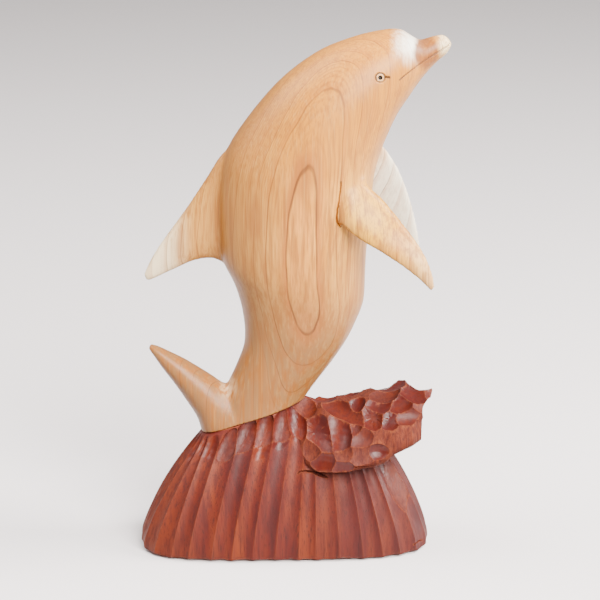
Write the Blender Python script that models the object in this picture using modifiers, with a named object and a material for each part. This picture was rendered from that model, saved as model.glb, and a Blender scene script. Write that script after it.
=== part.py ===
"""A leaping dolphin carved in pale wood, glued on a wave carved in red-stained wood.

The wave is a fluted mound with a breaking crest at its right end, and its underside is flat. The dolphin
rises from a tilted seat on the mound's ridge. The frame has +Z up, +X towards the beak, and its origin at
the middle of the wave's underside. Sizes are in metres and angles in degrees.
"""

import bisect
import math

import bmesh
import bpy
from mathutils import Matrix, Vector

# Glue joint: the tilted plane where the dolphin's foot meets the ridge of the wave
SEAT_X = -0.0160
SEAT_HEIGHT = 0.0645
SEAT_TILT = 18.0
GLUE_GAP = 0.0003

# Dolphin: drawn from the seat's middle in sketch units, SKETCH_HEIGHT of which are its height
FIGURE_HEIGHT = 0.1855
SKETCH_HEIGHT = 185.5
EYE_RADIUS = 0.0024
EYE_GROOVE_RADIUS = 0.0007
PUPIL_RADIUS = 0.0009
MOUTH_GROOVE_RADIUS = 0.0006

# Its foot in sketch units: how far the seat reaches behind and in front of its middle, and its width
FOOT_BACK = 22.8
FOOT_FRONT = 24.8
FOOT_WIDTH = 27.2

# Wave mound: a long footprint that fans up to an oval seat, with a ridge that runs on under the crest
MOUND_LENGTH = 0.1400
MOUND_DEPTH = 0.0620
RIDGE_END_X = 0.0340

# Flutes: how deep, how many round each end, and their widths against each other, from left to right
FLUTE_CUT = 0.0016
END_FLUTES = 7
END_FLUTE_RATIO = 9.9
SIDE_FLUTE_RATIOS = (8.7, 11.3, 10.2, 10.1, 11.1, 11.5, 8.5, 11.8, 11.8, 9.9, 9.0)

# Shares of the mound's height where the flutes begin to fade out and where the last one ends
FLUTES_FADE_SHARE = 0.82
FLUTES_END_SHARE = 0.94

# Breaking crest: a lump at the mound's right end, which overhangs it, narrows upwards and leans out
CREST_START_X = 0.0000
CREST_LENGTH = 0.0640
CREST_DEPTH = 0.0565
CREST_LEAN_RATIO = 0.60
CREST_TAPER_RATIO = 0.26
SCOOP_RADIUS = 0.0095
SCOOP_CUT = 0.0032

# Mesh resolution
BODY_RINGS = 48
BODY_SIDES = 32
FIN_RINGS = 18
FIN_SIDES = 20
CARVING_VOXEL = 0.0011
SMOOTHING_PASSES = 8
FACES_KEPT_RATIO = 0.036
MOUND_RINGS = 10
SIDES_PER_FLUTE = 4
CREST_RINGS = 14
CREST_SIDES = 24
SCOOP_SEGMENTS = 12
EYE_SEGMENTS = 16
GROOVE_SIDES = 6
OUTLINE_STEPS = 4000
FLANK_STEPS = 200

# How square the outlines are, where 2 is an ellipse
MOUND_SQUARENESS = 3.4
SEAT_SQUARENESS = 2.4
CREST_SQUARENESS = 2.6

# How late the mound's sides draw in as they rise, where 1 is a straight slope
LEFT_FLARE = 1.45
RIGHT_FLARE = 1.42
FACE_FLARE = 2.2
RIDGE_FLARE = 1.5
SHOULDER_FLARE = 8.0
RING_CROWDING = 1.35

# Finishes: colour and roughness
PALE_WOOD = ((0.72, 0.50, 0.28), 0.42)
RED_WOOD = ((0.33, 0.075, 0.035), 0.38)

UNIT = FIGURE_HEIGHT / SKETCH_HEIGHT
SEAT_START_X = SEAT_X - FOOT_BACK * UNIT
SEAT_END_X = SEAT_X + FOOT_FRONT * UNIT
SEAT_WIDTH = FOOT_WIDTH * UNIT

# Sketch stations: a point (x, z) on the back, one on the belly, and half of the thickness between the flanks
BODY_STATIONS = (
    (91.4, 180.6, 93.4, 177.6, 2.6),
    (88.6, 182.0, 90.9, 173.2, 4.6),
    (83.2, 180.9, 86.8, 169.8, 6.2),
    (78.6, 179.7, 82.2, 165.1, 8.4),
    (74.2, 181.9, 77.6, 159.3, 11.6),
    (69.0, 184.8, 73.2, 152.8, 15.4),
    (59.4, 183.9, 68.8, 146.2, 18.8),
    (46.4, 180.6, 64.9, 138.0, 21.8),
    (31.6, 174.4, 60.8, 127.4, 24.4),
    (14.8, 161.9, 57.9, 115.8, 26.4),
    (-0.4, 144.4, 57.0, 104.6, 27.4),
    (-11.0, 127.6, 56.4, 94.0, 27.6),
    (-14.5, 110.4, 54.8, 82.2, 27.0),
    (-14.8, 94.0, 54.2, 69.4, 26.0),
    (-13.2, 77.4, 53.6, 56.6, 24.6),
    (-7.4, 64.6, 50.4, 47.2, 22.6),
    (-3.6, 50.8, 45.6, 37.0, 20.0),
    (-2.8, 36.6, 39.0, 26.8, 17.4),
    (-6.6, 24.8, 31.6, 16.8, 15.4),
    (-13.4, 10.0, 26.0, 8.6, 13.6),
    (-18.6, -4.0, 23.6, 3.0, 13.0),
    (-21.6, -18.0, 22.0, -6.0, 13.0),
)

# The same for the dorsal fin and the fluke, as a point on the leading edge and one on the trailing edge
DORSAL_FIN_STATIONS = (
    (4.0, 136.0, 2.0, 84.0, 9.5),
    (-11.0, 128.6, -9.6, 74.6, 6.4),
    (-20.0, 115.8, -17.6, 76.8, 4.5),
    (-28.0, 103.6, -26.0, 75.8, 3.7),
    (-35.6, 93.0, -34.0, 72.4, 3.1),
    (-42.6, 83.2, -41.2, 69.0, 2.5),
    (-47.4, 75.0, -46.4, 66.6, 1.8),
    (-49.8, 69.6, -48.8, 66.2, 1.1),
)
FLUKE_STATIONS = (
    (2.0, 8.0, -4.0, -26.0, 12.8),
    (-12.0, 14.6, -20.4, -15.0, 11.8),
    (-18.4, 19.0, -25.6, -1.4, 10.4),
    (-25.0, 23.4, -31.0, 7.6, 9.0),
    (-31.6, 27.6, -36.4, 15.8, 7.4),
    (-38.4, 31.2, -41.8, 23.2, 5.6),
    (-44.0, 34.0, -45.8, 29.2, 3.8),
    (-47.6, 35.2, -48.2, 32.6, 2.0),
)

# Flipper stations: a point (x, y, z) on the leading edge, one on the trailing edge, and half of the thickness
NEAR_FLIPPER_STATIONS = (
    (40.0, 8.0, 126.0, 30.0, 12.0, 100.0, 6.0),
    (46.0, 16.0, 123.6, 41.6, 24.6, 98.6, 4.0),
    (55.6, 17.0, 114.8, 46.6, 27.0, 94.6, 3.7),
    (64.2, 20.2, 105.6, 52.0, 29.0, 91.2, 3.2),
    (70.4, 25.0, 98.4, 57.6, 30.8, 88.2, 2.8),
    (75.8, 28.9, 91.8, 64.2, 32.4, 84.2, 2.3),
    (80.4, 32.1, 84.4, 71.2, 33.7, 79.4, 1.9),
    (83.2, 34.2, 76.7, 78.0, 34.6, 73.8, 1.5),
    (84.0, 34.8, 71.6, 82.2, 34.9, 69.4, 1.1),
)
FAR_FLIPPER_STATIONS = (
    (42.0, 8.0, 136.0, 30.0, 12.0, 100.0, 6.0),
    (52.6, 14.0, 133.6, 39.4, 24.0, 97.2, 3.6),
    (61.6, 13.8, 128.6, 44.6, 26.6, 94.0, 3.4),
    (68.2, 17.8, 119.6, 50.6, 29.0, 91.0, 3.1),
    (73.6, 23.4, 108.6, 57.2, 30.8, 88.0, 2.7),
    (77.6, 27.9, 97.0, 64.2, 32.4, 84.2, 2.3),
    (80.4, 31.3, 86.4, 71.2, 33.7, 79.4, 1.9),
    (82.2, 33.7, 77.4, 77.6, 34.6, 74.2, 1.5),
    (82.9, 34.7, 72.2, 81.2, 34.9, 70.4, 1.1),
)

# The eye's middle and the mouth line from the beak's tip back, as seen from the side
EYE_AT = (58.9, 165.9)
MOUTH_POINTS = ((95.5, 180.0), (89.0, 176.2), (82.7, 172.9), (75.9, 169.3), (71.0, 165.6), (68.4, 162.4))

# Crest sections: share of its length, top and bottom as shares of the seat plane's height, share of its depth
CREST_SECTIONS = (
    (0.00, 0.900, 0.730, 0.40),
    (0.10, 0.938, 0.610, 0.72),
    (0.22, 0.938, 0.546, 0.96),
    (0.45, 0.905, 0.516, 1.00),
    (0.65, 0.893, 0.508, 0.98),
    (0.82, 0.900, 0.535, 0.90),
    (0.93, 0.868, 0.565, 0.78),
    (1.00, 0.800, 0.608, 0.54),
)

# Scoops on each face of the crest: share of its length, share of its height, and size against SCOOP_RADIUS
CREST_SCOOPS = (
    (0.22, 0.80, 1.15),
    (0.27, 0.44, 0.90),
    (0.20, 0.16, 1.00),
    (0.36, 0.70, 1.05),
    (0.37, 0.94, 0.95),
    (0.36, 0.22, 0.90),
    (0.47, 0.74, 0.85),
    (0.50, 0.50, 0.95),
    (0.53, 0.20, 0.90),
    (0.54, 0.97, 0.80),
    (0.58, 0.80, 1.00),
    (0.64, 0.16, 0.85),
    (0.67, 0.97, 0.95),
    (0.66, 0.48, 1.10),
    (0.75, 0.72, 0.85),
    (0.79, 0.90, 0.85),
    (0.80, 0.40, 1.15),
    (0.84, 0.99, 0.90),
    (0.90, 0.68, 0.90),
    (0.93, 0.36, 1.00),
    (0.95, 0.92, 0.80),
)

# Scoops along the crest's top: share of its length, and size against SCOOP_RADIUS
TOP_SCOOPS = ((0.16, 0.80), (0.29, 0.95), (0.45, 1.10), (0.61, 0.85), (0.75, 1.00), (0.91, 0.90))

# Scoops on the crest's end: share of its half depth, share of its height, and size against SCOOP_RADIUS
END_SCOOPS = (
    (-0.45, 0.62, 0.85),
    (0.00, 0.30, 1.05),
    (0.00, 0.84, 0.80),
    (0.45, 0.58, 0.90),
)

# Shares of the half outline from the +X end: the ground's, and the seat's that its side rises to
RIDGE_SHARE = 0.53
SEAT_SHARES = ((0.00, 0.00), (RIDGE_SHARE, 0.15), (0.81, 0.84), (1.00, 1.00))


def clear_scene():
    """Removes every object, so that the part stands alone."""
    for obj in list(bpy.data.objects):
        bpy.data.objects.remove(obj, do_unlink=True)


def new_collection(name):
    """A collection of that name under the scene's own."""
    collection = bpy.data.collections.new(name)
    bpy.context.scene.collection.children.link(collection)
    return collection


def wood(name, colour, roughness):
    """A plain wood finish."""
    finish = bpy.data.materials.new(name)
    finish.use_nodes = True
    shader = finish.node_tree.nodes["Principled BSDF"]
    shader.inputs["Base Color"].default_value = (*colour, 1.0)
    shader.inputs["Roughness"].default_value = roughness
    shader.inputs["Metallic"].default_value = 0.0
    return finish


def new_object(name, bm, collection, finish=None):
    """An object made from a bmesh, with its normals facing out."""
    bmesh.ops.recalc_face_normals(bm, faces=bm.faces)
    mesh = bpy.data.meshes.new(name)
    bm.to_mesh(mesh)
    bm.free()
    if finish:
        mesh.materials.append(finish)
    mesh.shade_smooth()
    obj = bpy.data.objects.new(name, mesh)
    collection.objects.link(obj)
    return obj


def as_cutter(obj):
    """Marks an object as a helper that only shapes others."""
    obj.hide_render = True
    obj.display_type = "WIRE"
    return obj


def curve_through(stations, share):
    """The station at a share of the way along, on a smooth curve through all of them."""
    place = share * (len(stations) - 1)
    index = min(int(place), len(stations) - 2)
    t = place - index
    before = stations[max(index - 1, 0)]
    start, end = stations[index], stations[index + 1]
    after = stations[min(index + 2, len(stations) - 1)]
    return tuple(
        0.5 * (2 * b + (c - a) * t + (2 * a - 5 * b + 4 * c - d) * t * t + (3 * b - a - 3 * c + d) * t**3)
        for a, b, c, d in zip(before, start, end, after)
    )


def superellipse(angle, squareness):
    """The point at an angle on a unit outline, from round at 2 to nearly square above 4."""
    power = 2.0 / squareness
    c, s = math.cos(angle), math.sin(angle)
    return math.copysign(abs(c) ** power, c), math.copysign(abs(s) ** power, s)


def loft(bm, sides, rings, place):
    """Extrudes a circle ring by ring, with points at place(ring, side). Returns its first and last ring."""
    index = bm.verts.layers.int.get("side") or bm.verts.layers.int.new("side")
    ring = bmesh.ops.create_circle(bm, cap_ends=False, radius=UNIT, segments=sides)["verts"]
    for side, vert in enumerate(ring):
        vert[index] = side
        vert.co = place(0, side)
    first = ring
    for number in range(1, rings):
        edges = []
        for vert in ring:
            following = (vert[index] + 1) % sides
            edges += [edge for edge in vert.link_edges if edge.other_vert(vert)[index] == following]
        grown = bmesh.ops.extrude_edge_only(bm, edges=edges)["geom"]
        ring = [item for item in grown if isinstance(item, bmesh.types.BMVert)]
        for vert in ring:
            vert.co = place(number, vert[index])
        ring.sort(key=lambda vert: vert[index])
    return first, ring


def add_capped_loft(bm, stations, rings, sides, section):
    """A closed loft through stations, where section(station) gives a ring's centre and its two half axes."""

    def place(ring, side):
        centre, half_long, half_thick = section(curve_through(stations, ring / (rings - 1)))
        angle = math.tau * side / sides
        return (centre + half_long * math.cos(angle) + half_thick * math.sin(angle)) * UNIT

    for ring in loft(bm, sides, rings, place):
        bm.faces.new(ring)


def mid_plane_section(station):
    """A section drawn in the plane of symmetry."""
    back_x, back_z, belly_x, belly_z, half = station
    back, belly = Vector((back_x, 0.0, back_z)), Vector((belly_x, 0.0, belly_z))
    return (back + belly) / 2, (back - belly) / 2, Vector((0.0, half, 0.0))


def flipper_section(stations, flank):
    """The function that gives a flipper's section on that flank, -1 or +1."""
    span = Vector(stations[-1][:3]) - Vector(stations[1][:3])
    mirror = Vector((1.0, flank, 1.0))

    def section(station):
        lead, trail, half = Vector(station[:3]), Vector(station[3:6]), station[6]
        through = (lead - trail).cross(span).normalized() * half
        return (lead + trail) / 2 * mirror, (lead - trail) / 2 * mirror, through * mirror

    return section


def seat_matrix():
    """The frame of the glue joint: its origin in the seat's middle and +Z square to the seat."""
    tilt = Matrix.Rotation(-math.radians(SEAT_TILT), 4, "Y")
    return Matrix.Translation((SEAT_X, 0.0, SEAT_HEIGHT)) @ tilt


def add_boolean(obj, name, operation, cutter):
    """A Boolean modifier with one object."""
    cut = obj.modifiers.new(name, "BOOLEAN")
    cut.operation = operation
    cut.solver = "EXACT"
    cut.object = cutter


def foot_trimmer(cutters):
    """A block under the seat, which cuts the dolphin's foot flat."""
    side = FIGURE_HEIGHT
    bm = bmesh.new()
    down = Matrix.Translation((0.0, 0.0, GLUE_GAP - side / 2))
    bmesh.ops.create_cube(bm, size=side, matrix=seat_matrix() @ down)
    return as_cutter(new_object("foot_trimmer", bm, cutters))


def flank_point(x, z, flank):
    """The point of the body's flank above the sketch point (x, z), and the outward direction there."""
    spot = Vector((x, 0.0, z))
    sections = [
        mid_plane_section(curve_through(BODY_STATIONS, step / FLANK_STEPS)) for step in range(FLANK_STEPS + 1)
    ]
    centre, half_long, half_thick = min(
        sections, key=lambda section: abs((spot - section[0]).dot(section[1].cross(section[2]).normalized()))
    )
    across = (spot - centre).dot(half_long) / half_long.length_squared
    rise = math.sqrt(max(0.0, 1 - across * across))
    point = centre + half_long * across + half_thick * rise * flank
    outward = half_long * across / half_long.length_squared
    outward += half_thick * rise * flank / half_thick.length_squared
    return point * UNIT, outward.normalized()


def to_seat(point):
    """A sketch point, already in metres, carried to its place over the seat."""
    return point + Vector((SEAT_X, 0.0, SEAT_HEIGHT))


def eye_cutters(cutters, flank):
    """A ring groove and a pupil on one flank of the head."""
    point, outward = flank_point(*EYE_AT, flank)
    frame = Matrix.Translation(to_seat(point)) @ outward.to_track_quat("Z", "Y").to_matrix().to_4x4()
    name = "near" if flank < 0 else "far"
    bpy.ops.mesh.primitive_torus_add(
        major_radius=EYE_RADIUS,
        minor_radius=EYE_GROOVE_RADIUS,
        major_segments=EYE_SEGMENTS,
        minor_segments=GROOVE_SIDES,
    )
    groove = bpy.context.object
    groove.name = f"eye_groove_{name}"
    groove.data.transform(frame)
    for owner in list(groove.users_collection):
        owner.objects.unlink(groove)
    cutters.objects.link(groove)
    bm = bmesh.new()
    bmesh.ops.create_icosphere(bm, subdivisions=1, radius=PUPIL_RADIUS, matrix=frame)
    return as_cutter(groove), as_cutter(new_object(f"pupil_{name}", bm, cutters))


def mouth_cutter(cutters, flank):
    """A thin tube along the mouth line of one flank."""
    route = [flank_point(*point, flank) for point in MOUTH_POINTS]
    bm = bmesh.new()

    def place(ring, side):
        point, outward = route[ring]
        ahead = route[min(ring + 1, len(route) - 1)][0] - route[max(ring - 1, 0)][0]
        across = ahead.cross(outward).normalized()
        angle = math.tau * side / GROOVE_SIDES
        return to_seat(point + (outward * math.cos(angle) + across * math.sin(angle)) * MOUTH_GROOVE_RADIUS)

    for ring in loft(bm, GROOVE_SIDES, len(route), place):
        bm.faces.new(ring)
    return as_cutter(new_object(f"mouth_{'near' if flank < 0 else 'far'}", bm, cutters))


def make_dolphin(parts, cutters, finish):
    """Body, dorsal fin, fluke and flippers, carved as one piece and cut flat at the foot."""
    bm = bmesh.new()
    add_capped_loft(bm, BODY_STATIONS, BODY_RINGS, BODY_SIDES, mid_plane_section)
    add_capped_loft(bm, DORSAL_FIN_STATIONS, FIN_RINGS, FIN_SIDES, mid_plane_section)
    add_capped_loft(bm, FLUKE_STATIONS, FIN_RINGS, FIN_SIDES, mid_plane_section)
    for stations, flank in ((NEAR_FLIPPER_STATIONS, -1), (FAR_FLIPPER_STATIONS, 1)):
        add_capped_loft(bm, stations, FIN_RINGS, FIN_SIDES, flipper_section(stations, flank))
    dolphin = new_object("dolphin", bm, parts, finish)
    dolphin.data.transform(Matrix.Translation((SEAT_X, 0.0, SEAT_HEIGHT)))

    carve = dolphin.modifiers.new("carve_as_one", "REMESH")
    carve.mode = "VOXEL"
    carve.voxel_size = CARVING_VOXEL
    carve.use_smooth_shade = True
    sand = dolphin.modifiers.new("sand", "SMOOTH")
    sand.iterations = SMOOTHING_PASSES
    thin = dolphin.modifiers.new("thin_out", "DECIMATE")
    thin.ratio = FACES_KEPT_RATIO
    add_boolean(dolphin, "flat_foot", "DIFFERENCE", foot_trimmer(cutters))
    for flank in (-1, 1):
        groove, pupil = eye_cutters(cutters, flank)
        add_boolean(dolphin, groove.name, "DIFFERENCE", groove)
        add_boolean(dolphin, pupil.name, "DIFFERENCE", pupil)
        mouth = mouth_cutter(cutters, flank)
        add_boolean(dolphin, mouth.name, "DIFFERENCE", mouth)


def seat_height(x):
    """Height of the seat's plane above the ground at x."""
    return SEAT_HEIGHT + (x - SEAT_X) * math.tan(math.radians(SEAT_TILT))


def angles_along(shares, length, depth, squareness):
    """The angles at which a superellipse's outline reaches those shares of its way round, from the +X end."""
    points = []
    for step in range(OUTLINE_STEPS + 1):
        x, y = superellipse(math.tau * step / OUTLINE_STEPS, squareness)
        points.append(Vector((x * length / 2, y * depth / 2)))
    lengths = [0.0]
    for a, b in zip(points, points[1:]):
        lengths.append(lengths[-1] + (b - a).length)
    angles = []
    for share in shares:
        goal = lengths[-1] * (share % 1.0)
        step = bisect.bisect_right(lengths, goal) - 1
        part = (goal - lengths[step]) / (lengths[step + 1] - lengths[step])
        angles.append(math.tau * (step + part) / OUTLINE_STEPS)
    return angles


def flute_sides():
    """For each side of the mound's outline, its share of the way round and its place across its flute."""
    end = [END_FLUTE_RATIO] * END_FLUTES
    widths = end + list(reversed(SIDE_FLUTE_RATIOS)) + end + list(SIDE_FLUTE_RATIOS)
    at = -sum(end) / 2
    sides = []
    for width in widths:
        for number in range(SIDES_PER_FLUTE):
            part = number / SIDES_PER_FLUTE
            sides.append(((at + width * part) / sum(widths), 2 * part - 1))
        at += width
    return sides


def flute_cut(across, rise):
    """Depth of a flute at a place across it, -1 to 1, and a share of the height. It ends in an arch."""
    fade = (FLUTES_END_SHARE - rise) / (FLUTES_END_SHARE - FLUTES_FADE_SHARE)
    return max(0.0, FLUTE_CUT * (min(1.0, fade) - across * across))


def half_share(share):
    """A share of the whole outline as a share of its half, from 0 at the +X end to 1 at the other."""
    return 2 * min(share % 1.0, 1 - share % 1.0)


def seat_share(share):
    """The share of the seat's outline that a share of the ground's outline rises to."""
    half = half_share(share)
    place = bisect.bisect_right([ground for ground, seat in SEAT_SHARES[1:-1]], half)
    (ground, seat), (next_ground, next_seat) = SEAT_SHARES[place : place + 2]
    half_seat = seat + (next_seat - seat) * (half - ground) / (next_ground - ground)
    return half_seat / 2 if share % 1.0 < 0.5 else 1 - half_seat / 2


def make_mound(finish, parts):
    """The fluted mound: rings that fan from the flat underside up to the tilted seat."""
    flutes = flute_sides()
    sides = len(flutes)
    seat_length = SEAT_END_X - SEAT_START_X
    shares = [share for share, across in flutes]
    seat_shares = [seat_share(share) for share in shares]
    ground_angles = angles_along(shares, MOUND_LENGTH, MOUND_DEPTH, MOUND_SQUARENESS)
    seat_angles = angles_along(seat_shares, seat_length, SEAT_WIDTH, SEAT_SQUARENESS)

    def outline(side, rise):
        x, y = superellipse(ground_angles[side % sides], MOUND_SQUARENESS)
        foot = Vector((x * MOUND_LENGTH / 2, y * MOUND_DEPTH / 2))
        x, y = superellipse(seat_angles[side % sides], SEAT_SQUARENESS)
        seat = Vector((SEAT_START_X + (x + 1) * seat_length / 2, y * SEAT_WIDTH / 2))
        to_ridge = max(0.0, 1 - (half_share(shares[side % sides]) / RIDGE_SHARE) ** RIDGE_FLARE)
        ridge_x = seat.x + (RIDGE_END_X - SEAT_END_X) * to_ridge
        flare = LEFT_FLARE + (RIGHT_FLARE - LEFT_FLARE) * (foot.x / MOUND_LENGTH + 0.5)
        x = foot.x + (ridge_x - foot.x) * rise**flare + (seat.x - ridge_x) * rise**SHOULDER_FLARE
        y = foot.y + (seat.y - foot.y) * rise**FACE_FLARE
        return Vector((x, y)), seat_height(seat.x) * rise

    def place(ring, side):
        rise = 1 - (1 - ring / (MOUND_RINGS - 1)) ** RING_CROWDING
        point, height = outline(side, rise)
        ahead = outline(side + 1, rise)[0] - outline(side - 1, rise)[0]
        inward = Vector((-ahead.y, ahead.x)).normalized()
        point += inward * flute_cut(flutes[side][1], rise)
        return Vector((point.x, point.y, height))

    bm = bmesh.new()
    for ring in loft(bm, sides, MOUND_RINGS, place):
        bm.faces.new(ring)
    return new_object("wave", bm, parts, finish)


def crest_point(share, angle):
    """A point of the crest's skin, and the middle of its section there."""
    place = bisect.bisect_right([section[0] for section in CREST_SECTIONS[1:-1]], share)
    before, after = CREST_SECTIONS[place : place + 2]
    t = (share - before[0]) / (after[0] - before[0])
    top, bottom, depth = (p + (q - p) * t for p, q in zip(before[1:], after[1:]))
    across, up = superellipse(angle, CREST_SQUARENESS)
    x = CREST_START_X + share * CREST_LENGTH
    top *= seat_height(x)
    bottom *= seat_height(x)
    middle = Vector((x, 0.0, (top + bottom) / 2))
    rise = up * (top - bottom) / 2
    side = across * (1 - CREST_TAPER_RATIO * up) * depth * CREST_DEPTH / 2
    return middle + Vector((max(0.0, rise) * CREST_LEAN_RATIO * share, side, rise)), middle


def make_crest(cutters):
    """The crest as a smooth lump, before the scoops are cut."""

    def place(ring, side):
        return crest_point(ring / (CREST_RINGS - 1), math.tau * side / CREST_SIDES)[0]

    bm = bmesh.new()
    for ring in loft(bm, CREST_SIDES, CREST_RINGS, place):
        bm.faces.new(ring)
    return as_cutter(new_object("crest", bm, cutters))


def add_scoop(scoops, name, point, outward, size):
    """A ball that scoops the skin at a point, and sinks in by SCOOP_CUT at its full size."""
    radius = SCOOP_RADIUS * size
    place = Matrix.Translation(point + outward * (radius - SCOOP_CUT * size))
    bm = bmesh.new()
    rings = SCOOP_SEGMENTS // 2
    bmesh.ops.create_uvsphere(bm, u_segments=SCOOP_SEGMENTS, v_segments=rings, radius=radius, matrix=place)
    as_cutter(new_object(name, bm, scoops))


def make_scoops(cutters):
    """A collection of balls that scoop both faces of the crest, its top and its end."""
    scoops = bpy.data.collections.new("scoops")
    cutters.children.link(scoops)
    for flank in (-1, 1):
        for number, (share, height, size) in enumerate(CREST_SCOOPS):
            up = 2 * height - 1
            angle = math.copysign(math.asin(abs(up) ** (CREST_SQUARENESS / 2)), up)
            point, middle = crest_point(share, angle if flank > 0 else math.pi - angle)
            name = f"scoop_{number}_{'near' if flank < 0 else 'far'}"
            add_scoop(scoops, name, point, (point - middle).normalized(), size)
    for number, (share, size) in enumerate(TOP_SCOOPS):
        point = crest_point(share, math.pi / 2)[0]
        add_scoop(scoops, f"top_scoop_{number}", point, Vector((0.0, 0.0, 1.0)), size)
    bottom, top = crest_point(1.0, -math.pi / 2)[0], crest_point(1.0, math.pi / 2)[0]
    for number, (across, height, size) in enumerate(END_SCOOPS):
        point = bottom.lerp(top, height)
        point.y = across * CREST_SECTIONS[-1][-1] * CREST_DEPTH / 2
        add_scoop(scoops, f"end_scoop_{number}", point, Vector((1.0, 0.0, 0.0)), size)
    return scoops


def make_wave(parts, cutters, finish):
    """Mound and crest as one piece of wood, with the crest scooped."""
    wave = make_mound(finish, parts)
    add_boolean(wave, "crest", "UNION", make_crest(cutters))
    cut = wave.modifiers.new("scoops", "BOOLEAN")
    cut.operation = "DIFFERENCE"
    cut.operand_type = "COLLECTION"
    cut.collection = make_scoops(cutters)
    cut.solver = "EXACT"


def main():
    """Builds the dolphin and the wave."""
    clear_scene()
    parts = new_collection("leaping_dolphin")
    cutters = new_collection("cutters")
    make_dolphin(parts, cutters, wood("pale_wood", *PALE_WOOD))
    make_wave(parts, cutters, wood("red_wood", *RED_WOOD))


main()
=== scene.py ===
"""The looks of a carved wooden dolphin that leaps from a fluted wave stained red-brown.

The dolphin is lofted from its sections, merged into one skin, sanded and cut with its eyes and mouth. The
wave is a fluted mound joined with a scooped crest. Both woods are procedural. Sizes are in metres, and the
rows of the tables in millimetres.
"""

import logging
import math
from dataclasses import dataclass, field
from enum import Enum
from typing import NamedTuple

import bmesh
import bpy
import numpy as np
from mathutils import Matrix, Vector
from mathutils.kdtree import KDTree


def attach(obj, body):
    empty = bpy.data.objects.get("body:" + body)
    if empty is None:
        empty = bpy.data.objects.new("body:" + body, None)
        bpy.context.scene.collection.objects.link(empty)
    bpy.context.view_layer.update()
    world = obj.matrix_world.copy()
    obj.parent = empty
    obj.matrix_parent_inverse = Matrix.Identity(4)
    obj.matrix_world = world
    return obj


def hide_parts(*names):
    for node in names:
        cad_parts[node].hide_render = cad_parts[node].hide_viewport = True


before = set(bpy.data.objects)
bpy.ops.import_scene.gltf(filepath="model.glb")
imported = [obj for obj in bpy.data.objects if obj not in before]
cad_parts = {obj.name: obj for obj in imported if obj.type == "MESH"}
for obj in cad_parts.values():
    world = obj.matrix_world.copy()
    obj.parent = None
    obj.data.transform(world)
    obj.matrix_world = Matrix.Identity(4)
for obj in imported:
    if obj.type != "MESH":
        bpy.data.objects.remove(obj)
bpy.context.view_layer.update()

log = logging.getLogger("carving")

Piece = bpy.types.Object
Socket = bpy.types.NodeSocket
Material = bpy.types.Material

MM = 0.001
OUT_OF_NEAR_SIDE = Vector((0, -1, 0))
SEAT_MIDDLE = Vector((-0.0160, 0.0, 0.0645))
SEAT_TILT = math.radians(18.0)


class Flank(Enum):
    """The two sides of the dolphin, by the sign of Y."""

    NEAR = -1
    FAR = 1


@dataclass(frozen=True)
class Ring:
    """One elliptical section: its middle and its two half axes, in metres."""

    middle: Vector
    long_axis: Vector
    short_axis: Vector


def start_piece(name: str) -> Piece:
    """Adds an empty mesh object at the origin and opens it for editing.

    Args:
        name: the object's name.

    Returns:
        The object, active and in edit mode.
    """
    bpy.ops.object.select_all(action="DESELECT")
    bpy.ops.object.add(type="MESH", location=(0, 0, 0))
    piece = bpy.context.object
    piece.name = name
    piece.data.name = name
    bpy.ops.object.mode_set(mode="EDIT")
    return piece


def finish_edit() -> None:
    """Closes the mesh being edited."""
    bpy.ops.object.mode_set(mode="OBJECT")


def only(piece: Piece) -> None:
    """Selects one piece and makes it active.

    Args:
        piece: the object.
    """
    bpy.ops.object.select_all(action="DESELECT")
    piece.select_set(True)
    bpy.context.view_layer.objects.active = piece


def apply_modifier(piece: Piece, kind: str, **settings: object) -> None:
    """Adds a modifier, sets it and applies it.

    Args:
        piece: the object to change.
        kind: the modifier's type.
        settings: its properties by name.
    """
    only(piece)
    bpy.ops.object.modifier_add(type=kind)
    modifier = piece.modifiers[-1]
    for name, value in settings.items():
        setattr(modifier, name, value)
    bpy.ops.object.modifier_apply(modifier=modifier.name)


def cut(piece: Piece, tool: Piece, operation: str = "DIFFERENCE") -> None:
    """Joins or cuts a piece with another object, which is then removed.

    Args:
        piece: the object to change.
        tool: the other object.
        operation: what the boolean does.
    """
    apply_modifier(piece, "BOOLEAN", operation=operation, solver="MANIFOLD", object=tool)
    bpy.data.objects.remove(tool, do_unlink=True)


def cut_all(piece: Piece, tools: list[Piece]) -> None:
    """Cuts a piece with several objects at once, which are then removed.

    Args:
        piece: the object to change.
        tools: the others.
    """
    bench = bpy.data.collections.new("bench")
    bpy.context.scene.collection.children.link(bench)
    for tool in tools:
        bench.objects.link(tool)
    apply_modifier(piece, "BOOLEAN", solver="MANIFOLD", operand_type="COLLECTION", collection=bench)
    for tool in tools:
        bpy.data.objects.remove(tool, do_unlink=True)
    bpy.data.collections.remove(bench)


def points_of(piece: Piece) -> np.ndarray:
    """The piece's points as an array.

    Args:
        piece: the object.

    Returns:
        Its points, as rows of three.
    """
    points = np.empty(len(piece.data.vertices) * 3)
    piece.data.vertices.foreach_get("co", points)
    return points.reshape(-1, 3)


def set_points(piece: Piece, points: np.ndarray) -> None:
    """Moves the piece's points to those of an array."""
    piece.data.vertices.foreach_set("co", np.ascontiguousarray(points).ravel())
    piece.data.update()


def add_mask(piece: Piece, name: str, values: np.ndarray) -> None:
    """Stores a value per point, which a finish can read."""
    mask = piece.data.attributes.new(name, "FLOAT", "POINT")
    mask.data.foreach_set("value", values.astype(np.float32))


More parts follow.
